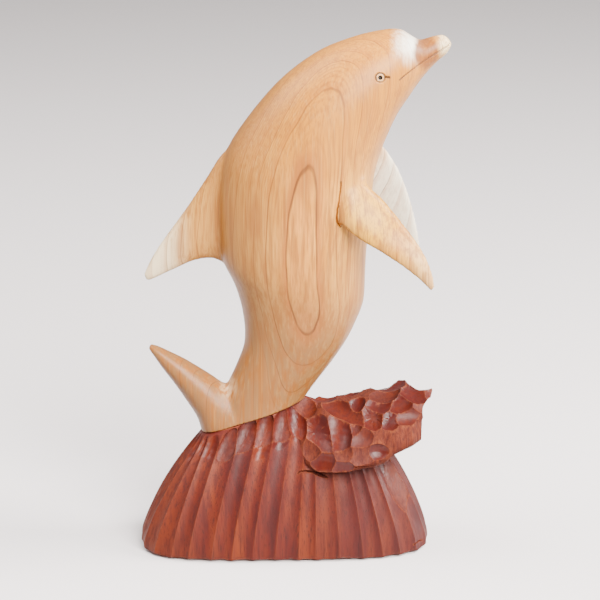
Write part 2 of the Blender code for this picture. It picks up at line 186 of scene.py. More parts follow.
def add_wear(piece: Piece, least: float, faintest: float = 0.3) -> None:
    """Stores where edges stand out, for wear, and where they fold in, for dirt.

    Args:
        piece: the carved piece.
        least: the smallest angle between two faces that counts, in degrees.
        faintest: the value stored at that angle.
    """
    form = bmesh.new()
    form.from_mesh(piece.data)
    ridge, hollow = np.zeros(len(form.verts)), np.zeros(len(form.verts))
    for edge in form.edges:
        angle = math.degrees(edge.calc_face_angle_signed(0.0))
        if abs(angle) > least:
            kind = ridge if angle > 0 else hollow
            value = min(1.0, (abs(angle) - least) / least + faintest)
            for corner in edge.verts:
                kind[corner.index] = max(kind[corner.index], value)
    form.free()
    add_mask(piece, "ridge", ridge)
    add_mask(piece, "hollow", hollow)


def curve_through(stations: tuple, share: float) -> np.ndarray:
    """A station on a smooth curve through others.

    Args:
        stations: the others, as rows of numbers.
        share: how far along the curve it is, from 0 to 1.

    Returns:
        Its numbers.
    """
    last = len(stations) - 1
    place = share * last
    index = min(int(place), last - 1)
    t = place - index
    a, b, c, d = (np.array(stations[min(max(index + step, 0), last)]) for step in (-1, 0, 1, 2))
    return 0.5 * (2 * b + (c - a) * t + (2 * a - 5 * b + 4 * c - d) * t * t + (3 * b - a - 3 * c + d) * t**3)


def loft(name: str, rings: list[Ring], sides: int) -> Piece:
    """Bridges circles, each at its own size and place, and fills both ends.

    Args:
        name: the object's name.
        rings: the sections in order.
        sides: how many points each has.

    Returns:
        The closed piece.
    """
    circles = []
    for ring in rings:
        across, up = ring.long_axis.normalized(), ring.short_axis.normalized()
        bpy.ops.mesh.primitive_circle_add(
            vertices=sides,
            radius=1.0,
            location=ring.middle,
            rotation=Matrix((across, up, across.cross(up))).transposed().to_euler(),
        )
        circles.append(bpy.context.object)
        circles[-1].scale = (ring.long_axis.length, ring.short_axis.length, 1.0)
    only(circles[0])
    for circle in circles:
        circle.select_set(True)
    bpy.ops.object.join()
    bpy.ops.object.transform_apply(location=True, rotation=True, scale=True)
    piece = bpy.context.object
    piece.name = name
    bpy.ops.object.mode_set(mode="EDIT")
    bpy.ops.mesh.select_all(action="SELECT")
    bpy.ops.mesh.bridge_edge_loops()
    close_mesh()
    finish_edit()
    return piece


def close_mesh() -> None:
    """Fills the open ends of the mesh being edited and turns its faces outwards."""
    bpy.ops.mesh.select_all(action="SELECT")
    bpy.ops.mesh.fill_holes(sides=0)
    bpy.ops.mesh.select_all(action="SELECT")
    bpy.ops.mesh.normals_make_consistent(inside=False)


def shaped_tube(name: str, grid: np.ndarray) -> Piece:
    """Bridges round circles and then shapes them, for sections that no circle or ellipse gives.

    Args:
        name: the object's name.
        grid: the points, as rings by sides by three.

    Returns:
        The closed piece.
    """
    rings, sides = grid.shape[:2]
    piece = start_piece(name)
    for number in range(rings):
        bpy.ops.mesh.primitive_circle_add(vertices=sides, radius=0.1, location=(0, 0, MM * number))
    bpy.ops.mesh.select_all(action="SELECT")
    bpy.ops.mesh.bridge_edge_loops()
    finish_edit()
    set_points(piece, grid.reshape(-1, 3))
    bpy.ops.object.mode_set(mode="EDIT")
    close_mesh()
    finish_edit()
    return piece


def rod(name: str, points: list[Vector], outward: list[Vector], half_sizes: list[tuple]) -> Piece:
    """A thin rod along the wood, which cuts a groove.

    Args:
        name: the object's name.
        points: the places that it runs through.
        outward: the way out of the wood at each.
        half_sizes: half its width and its depth at each.

    Returns:
        The closed rod.
    """
    rings, last = [], len(points) - 1
    for number, (point, out, (wide, deep)) in enumerate(zip(points, outward, half_sizes)):
        ahead = points[min(number + 1, last)] - points[max(number - 1, 0)]
        rings.append(Ring(point, ahead.cross(out).normalized() * wide, out * deep))
    return loft(name, rings, sides=10)


@dataclass
class Dolphin:
    """The leaping dolphin, measured from the seat's middle.

    A row of the body, the dorsal fin or the fluke has the x and z of its back, those of its belly, and half
    its width. A row of a flipper has its leading edge, its trailing edge and half its thickness.
    """

    body: tuple = (
        (91.4, 180.6, 93.4, 177.6, 2.6),
        (88.6, 182.0, 90.9, 173.2, 4.6),
        (83.2, 180.9, 86.8, 169.8, 6.2),
        (78.6, 179.7, 82.2, 165.1, 8.4),
        (74.2, 181.9, 77.6, 159.3, 11.6),
        (69.0, 184.65, 73.2, 152.8, 15.4),
        (59.4, 183.9, 68.8, 146.2, 18.8),
        (46.4, 180.6, 64.9, 138.0, 21.8),
        (31.6, 174.4, 60.8, 127.4, 24.4),
        (14.8, 161.9, 57.9, 115.8, 26.4),
        (-0.4, 144.4, 57.0, 104.6, 27.4),
        (-11.0, 127.6, 56.4, 94.0, 27.6),
        (-14.5, 110.4, 54.8, 82.2, 27.0),
        (-14.8, 94.0, 54.2, 69.4, 26.0),
        (-13.2, 77.4, 53.6, 56.6, 24.6),
        (-7.4, 64.6, 50.4, 47.2, 22.6),
        (-3.6, 50.8, 45.6, 37.0, 20.0),
        (-2.8, 36.6, 39.0, 26.8, 17.4),
        (-6.6, 24.8, 31.6, 16.8, 15.4),
        (-13.4, 10.0, 26.0, 8.6, 13.6),
        (-18.6, -4.0, 23.6, 3.0, 13.0),
        (-21.6, -18.0, 22.0, -6.0, 13.0),
    )
    dorsal_fin: tuple = (
        (4.0, 136.0, 2.0, 84.0, 9.5),
        (-11.0, 128.6, -9.6, 74.6, 6.4),
        (-20.0, 115.8, -17.6, 76.8, 4.5),
        (-28.0, 103.6, -26.0, 75.8, 3.7),
        (-35.6, 93.0, -34.0, 72.4, 3.1),
        (-42.6, 83.2, -41.2, 69.0, 2.5),
        (-47.4, 75.0, -46.4, 66.6, 1.8),
        (-49.8, 69.6, -48.8, 66.2, 1.1),
    )
    fluke: tuple = (
        (2.0, 8.0, -4.0, -26.0, 12.8),
        (-12.0, 14.6, -20.4, -15.0, 11.8),
        (-18.4, 19.0, -25.6, -1.4, 10.4),
        (-25.0, 23.4, -31.0, 7.6, 9.0),
        (-31.6, 27.6, -36.4, 15.8, 7.4),
        (-38.4, 31.2, -41.8, 23.2, 5.6),
        (-44.0, 34.0, -45.8, 29.2, 3.8),
        (-47.6, 35.2, -48.2, 32.6, 2.0),
    )
    near_flipper: tuple = (
        (40.0, 8.0, 126.0, 30.0, 12.0, 100.0, 6.0),
        (46.0, 16.0, 123.6, 41.6, 24.6, 98.6, 4.0),
        (55.6, 17.0, 114.8, 46.6, 27.0, 94.6, 3.7),
        (64.2, 20.2, 105.6, 52.0, 29.0, 91.2, 3.2),
        (70.4, 25.0, 98.4, 57.6, 30.8, 88.2, 2.8),
        (75.8, 28.9, 91.8, 64.2, 32.4, 84.2, 2.3),
        (80.4, 32.1, 84.4, 71.2, 33.7, 79.4, 1.9),
        (83.2, 34.1, 76.7, 78.0, 34.5, 73.8, 1.5),
        (84.0, 34.7, 71.6, 82.2, 34.8, 69.4, 1.1),
    )
    far_flipper: tuple = (
        (42.0, 8.0, 136.0, 30.0, 12.0, 100.0, 6.0),
        (52.6, 14.0, 133.6, 39.4, 24.0, 97.2, 3.6),
        (61.6, 13.8, 128.6, 44.6, 26.6, 94.0, 3.4),
        (68.2, 17.8, 119.6, 50.6, 29.0, 91.0, 3.1),
        (73.6, 23.4, 108.6, 57.2, 30.8, 88.0, 2.7),
        (77.6, 27.9, 97.0, 64.2, 32.4, 84.2, 2.3),
        (80.4, 31.3, 86.4, 71.2, 33.7, 79.4, 1.9),
        (82.2, 33.7, 77.4, 77.6, 34.6, 74.2, 1.5),
        (82.9, 34.7, 72.2, 81.2, 34.9, 70.4, 1.1),
    )
    eye_at: tuple = (58.9, 165.9)
    eye_corner: tuple = ((61.2, 166.2), (62.4, 166.1), (63.6, 165.7))
    mouth: tuple = ((95.5, 180.0), (89.0, 176.2), (82.7, 172.9), (75.9, 169.3), (71.8, 166.9), (68.2, 164.4))
    crease: tuple = ((41.2, 97.2), (39.4, 100.2), (39.6, 105.2), (40.6, 111.4), (41.4, 119.0))
    scored_lines: tuple = ((mouth, 0.00035, 1.6), (eye_corner, 0.00035, 1.2), (crease, 0.00050, 3.0))
    line_steps: int = 24
    line_taper: float = 0.6
    darkened_reach: float = 1.1 * MM
    body_rings: int = 84
    body_sides: int = 72
    fin_rings: int = 30
    fin_sides: int = 40
    flank_steps: int = 400
    skin_grid: float = 0.0008
    skin_search: float = 10 * MM
    sanding: int = 10
    glue_gap: float = 0.0003
    eye_ring: float = 0.0021
    eye_groove: float = 0.00036
    pupil: float = 0.0009
    root_at: Vector = field(default_factory=lambda: Vector((49.6, -17.6, 120.0)))
    root_reach: float = 0.0140
    root_sanding: int = 90
    eyes: list[Vector] = field(default_factory=list)
    scored: list[Vector] = field(default_factory=list)

    def in_plane_ring(self, station: np.ndarray) -> Ring:
        """A section drawn in the plane of symmetry, carried to its place over the seat.

        Args:
            station: the section's row.

        Returns:
            The section.
        """
        back = Vector((station[0], 0.0, station[1])) * MM
        belly = Vector((station[2], 0.0, station[3])) * MM
        return Ring(SEAT_MIDDLE + (back + belly) / 2, (back - belly) / 2, Vector((0.0, station[4] * MM, 0.0)))

    def flipper_ring(self, station: np.ndarray, flank: Flank, span: Vector) -> Ring:
        """A section of a flipper, at right angles to its span.

        Args:
            station: the section's row.
            flank: the side that the flipper is on.
            span: the way from its root to its tip.

        Returns:
            The section.
        """
        lead, trail = Vector(station[:3]) * MM, Vector(station[3:6]) * MM
        mirror = Vector((1.0, flank.value, 1.0))
        through = (lead - trail).cross(span).normalized() * station[6] * MM
        return Ring(SEAT_MIDDLE + (lead + trail) / 2 * mirror, (lead - trail) / 2 * mirror, through * mirror)

    def sections(self, stations: tuple, count: int) -> list[np.ndarray]:
        """Stations in between those given, at even shares of the way along."""
        return [curve_through(stations, number / (count - 1)) for number in range(count)]

    def flipper(self, name: str, stations: tuple, flank: Flank) -> Piece:
        """One flipper, with its root sunk in the body.

        Args:
            name: its name.
            stations: the rows of its sections.
            flank: the side that it is on.

        Returns:
            The flipper.
        """
        span = Vector(stations[-1][:3]) - Vector(stations[1][:3])
        rows = self.sections(stations, self.fin_rings)
        return loft(name, [self.flipper_ring(row, flank, span) for row in rows], self.fin_sides)

    def in_plane(self, name: str, stations: tuple, rings: int, sides: int) -> Piece:
        """The body or a fin, whose sections are drawn in the plane of symmetry."""
        return loft(name, [self.in_plane_ring(station) for station in self.sections(stations, rings)], sides)

    def flank_point(self, x: float, z: float, flank: Flank) -> tuple[Vector, Vector]:
        """A point of the body's flank.

        Args:
            x: how far ahead of the seat's middle it is.
            z: how far above it.
            flank: the side that it is on.

        Returns:
            The point, and the way out of the wood there.
        """
        spot = SEAT_MIDDLE + Vector((x, 0.0, z)) * MM
        rings = [self.in_plane_ring(station) for station in self.sections(self.body, self.flank_steps)]

        def off(ring: Ring) -> float:
            """How far the spot is from the ring's plane."""
            return abs((spot - ring.middle).dot(ring.long_axis.cross(ring.short_axis).normalized()))

        ring = min(rings, key=off)
        across = (spot - ring.middle).dot(ring.long_axis) / ring.long_axis.length_squared
        rise = math.sqrt(max(0.0, 1 - across * across)) * flank.value
        outward = ring.long_axis * across / ring.long_axis.length_squared
        outward += ring.short_axis * rise / ring.short_axis.length_squared
        return ring.middle + ring.long_axis * across + ring.short_axis * rise, outward.normalized()

    def settle(self, piece: Piece, point: Vector, outward: Vector) -> Vector:
        """Moves a point of the flank onto the sanded skin.

        Args:
            piece: the sanded dolphin.
            point: the point.
            outward: the way out of the wood there.

        Returns:
            The point on the skin.
        """
        start = point + outward * self.skin_search
        hit, place, _, _ = piece.ray_cast(start, -outward, distance=2 * self.skin_search)
        return place if hit else point

    def soften_roots(self, piece: Piece) -> None:
        """Sands the leading roots of both flippers down into the body.

        Args:
            piece: the dolphin, in one skin.
        """
        points = points_of(piece)
        roots = [SEAT_MIDDLE + Vector((1.0, flank.value, 1.0)) * self.root_at * MM for flank in Flank]
        far = np.min([np.linalg.norm(points - np.array(root), axis=1) for root in roots], axis=0)
        group = piece.vertex_groups.new(name="roots")
        for number in np.flatnonzero(far < self.root_reach):
            group.add([int(number)], float(1 - (far[number] / self.root_reach) ** 2), "REPLACE")
        apply_modifier(piece, "SMOOTH", factor=0.5, iterations=self.root_sanding, vertex_group="roots")
        piece.vertex_groups.clear()

    def cut_foot(self, piece: Piece) -> None:
        """Cuts the foot flat along the glue joint.

        Args:
            piece: the dolphin, in one skin.
        """
        normal = Vector((-math.sin(SEAT_TILT), 0.0, math.cos(SEAT_TILT)))
        only(piece)
        bpy.ops.object.mode_set(mode="EDIT")
        bpy.ops.mesh.select_all(action="SELECT")
        foot = SEAT_MIDDLE + normal * self.glue_gap
        bpy.ops.mesh.bisect(plane_co=foot, plane_no=normal, use_fill=True, clear_inner=True)
        finish_edit()

    def cut_eye(self, piece: Piece, flank: Flank) -> Vector:
        """Cuts the ring and the pupil of one eye.

        Args:
            piece: the sanded dolphin.
            flank: the side that the eye is on.

        Returns:
            The middle of the eye.
        """
        point, outward = self.flank_point(*self.eye_at, flank)
        middle = self.settle(piece, point, outward)
        turn = outward.to_track_quat("Z", "Y").to_euler()
        bpy.ops.mesh.primitive_torus_add(
            location=middle,
            rotation=turn,
            major_radius=self.eye_ring,
            minor_radius=self.eye_groove,
            major_segments=56,
            minor_segments=12,
        )
        ring = bpy.context.object
        only(ring)
        bpy.ops.object.transform_apply(location=True, rotation=True, scale=True)
        followed = []
        for corner in (Vector(row) for row in points_of(ring)):
            rise = (corner - middle).dot(outward)
            followed.append(self.settle(piece, corner - outward * rise, outward) + outward * rise)
        set_points(ring, np.array(followed))
        cut(piece, ring)
        bpy.ops.mesh.primitive_uv_sphere_add(
            segments=24, ring_count=12, radius=self.pupil, location=middle, rotation=turn
        )
        cut(piece, bpy.context.object)
        return middle

    def score(self, piece: Piece, flank: Flank, route: tuple, groove: float, deeper: float) -> None:
        """Cuts a line along a flank with a thin rod that tapers at its end.

        Args:
            piece: the sanded dolphin.
            flank: the side that the line is on.
            route: the x and z of the places that the line runs through.
            groove: half the line's width.
            deeper: how much deeper than wide it is.
        """
        shares = [step / self.line_steps for step in range(self.line_steps + 1)]
        spots = [self.flank_point(*curve_through(route, share), flank) for share in shares]
        points = [self.settle(piece, point, outward) for point, outward in spots]
        thin = [groove * (1 - self.line_taper * share**3) for share in shares]
        sizes = [(wide, wide * deeper) for wide in thin]
        cut(piece, rod("scored_line", points, [outward for _, outward in spots], sizes))
        self.scored.extend(points)

    def build(self) -> Piece:
        """Lofts the parts, carves them as one piece, sands it and cuts the foot, eyes and mouth.

        Returns:
            The dolphin.
        """
        piece = self.in_plane("dolphin_carving", self.body, self.body_rings, self.body_sides)
        others = [
            self.in_plane("dorsal_fin", self.dorsal_fin, self.fin_rings, self.fin_sides),
            self.in_plane("fluke", self.fluke, self.fin_rings, self.fin_sides),
            self.flipper("near_flipper", self.near_flipper, Flank.NEAR),
            self.flipper("far_flipper", self.far_flipper, Flank.FAR),
        ]
        only(piece)
        for other in others:
            other.select_set(True)
        bpy.ops.object.join()
        apply_modifier(piece, "REMESH", mode="VOXEL", voxel_size=self.skin_grid, use_smooth_shade=True)
        apply_modifier(piece, "SMOOTH", factor=0.5, iterations=self.sanding)
        self.soften_roots(piece)
        self.cut_foot(piece)
        for flank in Flank:
            self.eyes.append(self.cut_eye(piece, flank))
            for line in self.scored_lines:
                self.score(piece, flank, *line)
        near_line = KDTree(len(self.scored))
        for number, point in enumerate(self.scored):
            near_line.insert(point, number)
        near_line.balance()
        far = np.array([near_line.find(corner.co)[2] for corner in piece.data.vertices])
        # How near each point is to a cut line; the finish darkens the wood there.
        add_mask(piece, "scored", np.clip(1 - far / self.darkened_reach, 0, 1))
        only(piece)
        bpy.ops.object.shade_smooth()
        return piece


@dataclass(frozen=True)
class Scoop:
    """One gouge cut: its middle on the wood in mm, the way it faces, its half sizes, depth and turn.

    The way it faces is a compass angle from +X and a rise, and its turn is that of its long way from level,
    all in degrees. Chatter is how far the blade skipped, in mm, and gloss how smooth its cut came out.
    """

    place: tuple
    facing: tuple
    half_length: float
    half_width: float
    depth: float
    turn: float = 0.0
    chatter: float = 0.0
    gloss: float = 1.0

    def axes(self) -> tuple[Vector, Vector, Vector]:
        """Its long way, its way across and its way out.

        Returns:
            The three ways, each of length 1.
        """
        compass, rise = math.radians(self.facing[0]), math.radians(self.facing[1])
        out = Vector((math.cos(compass) * math.cos(rise), math.sin(compass) * math.cos(rise), math.sin(rise)))
        level = Vector((0, 0, 1)).cross(out).normalized()
        up = out.cross(level)
        turn = math.radians(self.turn)
        long_way = level * math.cos(turn) + up * math.sin(turn)
        return long_way, out.cross(long_way), out


@dataclass(frozen=True)
class Slit:
    """A crack in the near side: half its width, its depth and the places that it runs through."""

    half_width: float
    depth: float
    route: tuple


@dataclass
class Gouge:
    """Makes the bowls of wood that gouge cuts take out, each a copy of one round bowl."""

    rings: int = 14
    sides: int = 56
    roundness: float = 2.5
    ripple: float = 1.35
    first_ring: float = 0.08
    crowding: float = 0.8
    lid: tuple = (0.6, 0.98)
    bowl: Piece | None = None

    def round_bowl(self) -> Piece:
        """The lower half of a ball of radius 1 under a lid, given by its height and radius.

        Returns:
            The bowl.
        """
        levels = np.linspace(self.first_ring, 1.0, self.rings) ** self.crowding * math.pi / 2
        rows = [*((-math.cos(level), math.sin(level)) for level in levels), self.lid]
        rings = [Ring(Vector((0, 0, z)), Vector((wide, 0, 0)), Vector((0, wide, 0))) for z, wide in rows]
        return loft("bowl", rings, self.sides)

    def cutter(self, scoop: Scoop) -> Piece:
        """A copy of the bowl at the size and place of one scoop.

        Args:
            scoop: the cut.

        Returns:
            The bowl that the blade takes out.
        """
        if self.bowl is None:
            self.bowl = self.round_bowl()
        cutter = self.bowl.copy()
        cutter.data = self.bowl.data.copy()
        bpy.context.scene.collection.objects.link(cutter)
        long_way, cross_way, out = (np.array(axis) for axis in scoop.axes())
        ball = self.roundness * scoop.depth
        lift = ball - scoop.depth
        wide = 1 / math.sqrt(1 - (lift / ball) ** 2)
        unit = points_of(self.bowl)
        along = unit[:, :1] * scoop.half_length * wide
        rise = lift + unit[:, 2:] * ball + np.cos(along / self.ripple * math.tau) * scoop.chatter
        across = unit[:, 1:2] * scoop.half_width * wide
        set_points(cutter, (np.array(scoop.place) + along * long_way + across * cross_way + rise * out) * MM)
        add_mask(cutter, "cut", np.full(len(unit), scoop.gloss))
        return cutter

    def put_away(self) -> None:
        """Removes the bowl that the others were copied from."""
        bpy.data.objects.remove(self.bowl, do_unlink=True)


NEAR_SCOOPS = (
    Scoop((26.5, -11.5, 70.9), (-112, 58), 19.1, 6.2, 3.7, 151, 0.00, 0.8),
    Scoop((24.1, -23.1, 63.4), (-100, 38), 15.2, 8.0, 4.7, 96),
    Scoop((14.4, -18.4, 62.4), (-112, 34), 16.0, 7.9, 3.5, 127, 0.10),
    Scoop((17.9, -25.9, 54.5), (-119, 21), 7.0, 4.6, 1.6, 126, 0.10, 0.9),
    Scoop((11.5, -21.2, 54.5), (-115, 15), 6.6, 6.1, 1.8, 79, 0.00, 0.2),
    Scoop((31.6, -22.5, 66.1), (-95, 45), 9.1, 4.2, 2.7, 100, 0.08, 0.8),
    Scoop((34.7, -27.3, 60.8), (-94, 29), 6.6, 5.8, 2.2, 1, 0.00, 0.7),
    Scoop((43.9, -13.1, 73.7), (-95, 56), 8.0, 7.1, 2.6, 49),
    Scoop((40.7, -19.6, 70.0), (-115, 45), 10.3, 5.9, 3.5, 126, 0.12),
    Scoop((-27.1, -16.5, 52.3), (-110, 34), 8.3, 3.6, 1.0, 75, 0.05, 0.7),
    Scoop((-18.6, -15.6, 56.4), (-104, 38), 8.4, 4.2, 1.4, 78, 0.06, 0.8),
    Scoop((-10.1, -16.1, 58.4), (-99, 38), 9.0, 4.1, 1.7, 83, 0.06, 0.8),
    Scoop((-1.1, -14.6, 60.3), (-95, 38), 8.1, 4.1, 1.6, 86, 0.06, 0.8),
    Scoop((55.3, -13.6, 31.5), (-66, 30), 13.0, 6.4, 1.9, 103, 0.03, 0.4),
    Scoop((10.6, -6.6, 70.5), (-105, 58), 10.0, 5.9, 3.5, 92, 0.00, 0.5),
    Scoop((6.6, -11.6, 63.7), (-112, 30), 8.6, 4.1, 2.0, 109, 0.06),
    Scoop((46.0, -4.0, 75.7), (-85, 66), 7.3, 8.0, 2.2, 9, 0.08, 0.6),
    Scoop((53.2, -15.8, 75.0), (-100, 50), 7.2, 8.1, 3.1, 40),
    Scoop((59.9, -8.0, 79.3), (-80, 60), 12.4, 7.5, 3.9, 115, 0.08),
    Scoop((49.5, -22.8, 69.0), (-105, 42), 7.3, 5.5, 2.5, 89, 0.12),
    Scoop((57.4, -22.7, 70.3), (-85, 30), 12.0, 5.2, 3.4, 179, 0.00, 0.8),
    Scoop((43.0, -30.7, 53.9), (-90, 35), 5.5, 4.2, 1.9, 0),
    Scoop((25.7, -29.5, 53.7), (-100, 20), 7.4, 4.8, 2.2, 3, 0.00, 0.2),
    Scoop((33.6, -30.5, 54.0), (-90, 18), 8.6, 6.1, 1.3, 179, 0.00, 0.3),
    Scoop((33.7, -9.4, 72.6), (-100, 58), 8.2, 4.3, 2.3, 83),
    Scoop((63.4, -17.8, 75.0), (-60, 35), 6.1, 7.0, 2.5, 19, 0.00, 0.4),
)


NEAR_SLITS = (
    Slit(
        0.55,
        1.9,
        (
            (5.3, -22.7, 41.6),
            (7.6, -23.2, 43.0),
            (11.0, -22.1, 42.5),
            (14.2, -23.3, 42.2),
            (17.1, -22.8, 40.7),
        ),
    ),
    Slit(1.00, 2.2, ((11.0, -22.1, 42.5), (14.7, -23.3, 41.9), (16.6, -22.9, 40.9), (19.9, -23.3, 39.6))),
    Slit(0.30, 1.1, ((20.6, -29.5, 45.4), (27.5, -31.9, 47.4), (33.6, -31.8, 48.0), (40.2, -30.9, 48.1))),
    Slit(0.35, 1.4, ((60.7, -22.2, 4.7), (63.3, -19.5, 5.4), (66.0, -16.0, 4.7))),
)


@dataclass
class Wave:
    """The wave: a fluted mound with a breaking crest.

    A row of the crest's sections has its share of the crest's length, its top and its bottom as shares of the
    seat's height there, and its share of the depth. Ranges of chance are written as pairs.
    """

    length: float = 0.1400
    depth: float = 0.0620
    foot_back: float = 0.0228
    foot_front: float = 0.0248
    seat_width: float = 0.0272
    ridge_end: float = 0.0340
    flute_cut: float = 0.0015
    end_flutes: int = 7
    end_flute: float = 9.9
    side_flutes: tuple = (8.7, 11.3, 10.2, 10.1, 11.1, 11.5, 8.5, 11.8, 11.8, 9.9, 9.0)
    flutes_fade: float = 0.85
    flutes_end: float = 0.972
    foot_wear: float = 0.62
    foot_gap: float = 0.0013
    foot_tuck: float = 0.0012
    stroke_cut: float = 0.0021
    stroke_reach: float = 0.125
    bare_face: tuple = ((55.5, -27.5, 61.0), 14.0)
    crest_start: float = 0.0
    crest_length: float = 0.0640
    crest_depth: float = 0.0565
    crest_lean: float = 0.66
    crest_taper: float = 0.26
    mound_square: float = 3.4
    seat_square: float = 2.4
    crest_square: float = 2.6
    crest_edge: float = 5.0
    left_flare: float = 1.45
    right_flare: float = 1.42
    face_flare: float = 2.2
    ridge_flare: float = 1.5
    shoulder_flare: float = 8.0
    ridge_share: float = 0.53
    seat_shares: tuple = ((0.00, 0.00), (0.53, 0.15), (0.81, 0.84), (1.00, 1.00))
    crest_sections: tuple = (
        (0.00, 0.885, 0.730, 0.30),
        (0.10, 0.925, 0.620, 0.58),
        (0.18, 0.930, 0.578, 0.74),
        (0.24, 0.951, 0.556, 0.84),
        (0.34, 0.938, 0.550, 0.95),
        (0.45, 0.926, 0.545, 1.00),
        (0.65, 0.916, 0.545, 0.98),
        (0.73, 0.919, 0.553, 0.95),
        (0.80, 0.925, 0.590, 0.93),
        (0.93, 0.900, 0.608, 0.84),
        (1.00, 0.840, 0.618, 0.68),
    )
    blade_room: float = 0.0040
    blade_share: float = 0.9
    near_scoops: tuple = NEAR_SCOOPS
    rim_scoops: tuple = (
        Scoop((66.4, 0.0, 80.0), (90, 72), 60.0, 8.0, 5.0, 90, 0.06),
        Scoop((46.4, 0.0, 78.0), (90, 72), 60.0, 6.4, 2.6, 90, 0.05),
        Scoop((67.4, 0.0, 64.0), (0, 0), 60.0, 6.0, 3.0, -18, 0.05, 0.4),
    )
    near_slits: tuple = NEAR_SLITS
    slit_steps: int = 30
    slit_end: float = 0.12
    slit_roundness: float = 0.6
    flute_seed: int = 7
    flute_depths: tuple = (0.8, 1.2)
    flute_stops: tuple = (-0.014, 0.010)
    stroke_reaches: tuple = (0.75, 1.35)
    chip_sizes: tuple = (0.5, 1.6)
    chip_width: int = 5
    chip_lift: float = 1.3
    end_sharpness: int = 6
    end_wear: float = 0.45
    wear_height: float = 0.3
    foot_undercut: float = 2.2
    tuck_height: float = 0.12
    rim_band: tuple = (0.95, 0.05)
    scoop_seed: int = 5
    scoop_rows: tuple = (-50, -18, 12, 40, 64, 88, 112, 140, 168, 196)
    scoop_shares: tuple = (0.20, 1.02, 0.15)
    row_shift: float = 0.07
    share_play: float = 0.02
    angle_play: float = 6
    probe: tuple = (0.01, 0.02)
    scoop_ranges: tuple = ((7.5, 11.0), (6.5, 8.5), (2.2, 3.2), (0, 180), (0, 0.08))
    room_between: float = 0.8 * MM
    skin_slack: float = 0.5 * MM
    sharp_edge: float = 20.0
    outline_steps: int = 8001
    ring_crowding: float = 1.35
    mound_rings: int = 84
    flute_sides: int = 12
    crest_rings: int = 130
    crest_cap_rings: int = 26
    crest_sides: int = 240

    def seat_height(self, x: np.ndarray) -> np.ndarray:
        """Height of the seat's plane above the ground at x."""
        return SEAT_MIDDLE.z + (x - SEAT_MIDDLE.x) * math.tan(SEAT_TILT)

    def outline(self, angle: np.ndarray, squareness: float) -> tuple[np.ndarray, np.ndarray]:
        """Points at those angles of a unit outline, from round at 2 to nearly square above 4.

        Args:
            angle: the angles in radians.
            squareness: the outline's power.

        Returns:
            The x and y of the points.
        """
        power = 2.0 / squareness
        c, s = np.cos(angle), np.sin(angle)
        return np.sign(c) * np.abs(c) ** power, np.sign(s) * np.abs(s) ** power

    def angles_along(self, shares: np.ndarray, length: float, depth: float, squareness: float) -> np.ndarray:
        """The angles at which an outline reaches shares of its way round.

        Args:
            shares: the shares, from the +X end.
            length: its size along X.
            depth: its size along Y.
            squareness: how square it is.

        Returns:
            The angles.
        """
        angles = np.linspace(0, math.tau, self.outline_steps)
        x, y = self.outline(angles, squareness)
        steps = np.hypot(np.diff(x * length), np.diff(y * depth))
        way = np.concatenate([[0], np.cumsum(steps)])
        return np.interp((shares % 1.0) * way[-1], way, angles)

    def flutes(self) -> tuple[np.ndarray, np.ndarray, np.ndarray]:
        """For each side: its share of the way round, its place across its flute and the flute's number.

        Returns:
            The three, as arrays. The place is -1 and 1 at the flute's edges.
        """
        end = [self.end_flute] * self.end_flutes
        widths = np.array(end + list(reversed(self.side_flutes)) + end + list(self.side_flutes))
        edges = np.concatenate([[0], np.cumsum(widths)]) - sum(end) / 2
        part = np.arange(self.flute_sides) / self.flute_sides
        share = (edges[:-1, None] + widths[:, None] * part) / widths.sum()
        across = np.broadcast_to(2 * part - 1, share.shape)
        number = np.broadcast_to(np.arange(len(widths))[:, None], share.shape)
        return share.ravel(), across.ravel(), number.ravel()

    def mound_edges(self, share: np.ndarray) -> tuple[np.ndarray, ...]:
        """Where each side of the mound stands on the ground and ends at the seat.

        Args:
            share: each side's share of the way round.

        Returns:
            The x and y of its foot, the x and y of its end, the x that it heads for below the crest, and how
            near the foot is to either end of the mound, from 0 to 1.
        """
        start, end = SEAT_MIDDLE.x - self.foot_back, SEAT_MIDDLE.x + self.foot_front
        half = 2 * np.minimum(share % 1.0, 1 - share % 1.0)
        half_seat = np.interp(half, *np.array(self.seat_shares).T)
        seat_share = np.where(share % 1.0 < 0.5, half_seat / 2, 1 - half_seat / 2)
        angles = self.angles_along(share, self.length, self.depth, self.mound_square)
        gx, gy = self.outline(angles, self.mound_square)
        angles = self.angles_along(seat_share, end - start, self.seat_width, self.seat_square)
        sx, sy = self.outline(angles, self.seat_square)
        seat_x, seat_y = start + (sx + 1) * (end - start) / 2, sy * self.seat_width / 2
        to_ridge = np.maximum(0, 1 - (half / self.ridge_share) ** self.ridge_flare)
        ridge_x = seat_x + (self.ridge_end - end) * to_ridge
        level_end = np.abs(gx) ** self.end_sharpness
        return gx * self.length / 2, gy * self.depth / 2, seat_x, seat_y, ridge_x, level_end

    def flute_chances(self, number: np.ndarray) -> tuple[np.ndarray, ...]:
        """What differs by chance from flute to flute.

        Args:
            number: the flute that each side belongs to.

        Returns:
            For each side, how deep its flute is, where it stops, how far its last stroke reaches, its tone,
            and how far the foot is chipped there.
        """
        chance = np.random.default_rng(self.flute_seed)
        count = number.max() + 1
        deep = chance.uniform(*self.flute_depths, count)[number]
        stop = self.flutes_end + chance.uniform(*self.flute_stops, count)[number]
        reach = self.stroke_reach * chance.uniform(*self.stroke_reaches, count)[number]
        tone = chance.uniform(-1, 1, count)[number]
        sides, width = len(number), self.chip_width
        chips = np.convolve(np.tile(chance.uniform(0, 1, sides), 3), np.ones(width) / width, "same")
        least, more = self.chip_sizes
        return deep, stop, reach, tone, self.foot_gap * (least + more * chips[sides : 2 * sides])

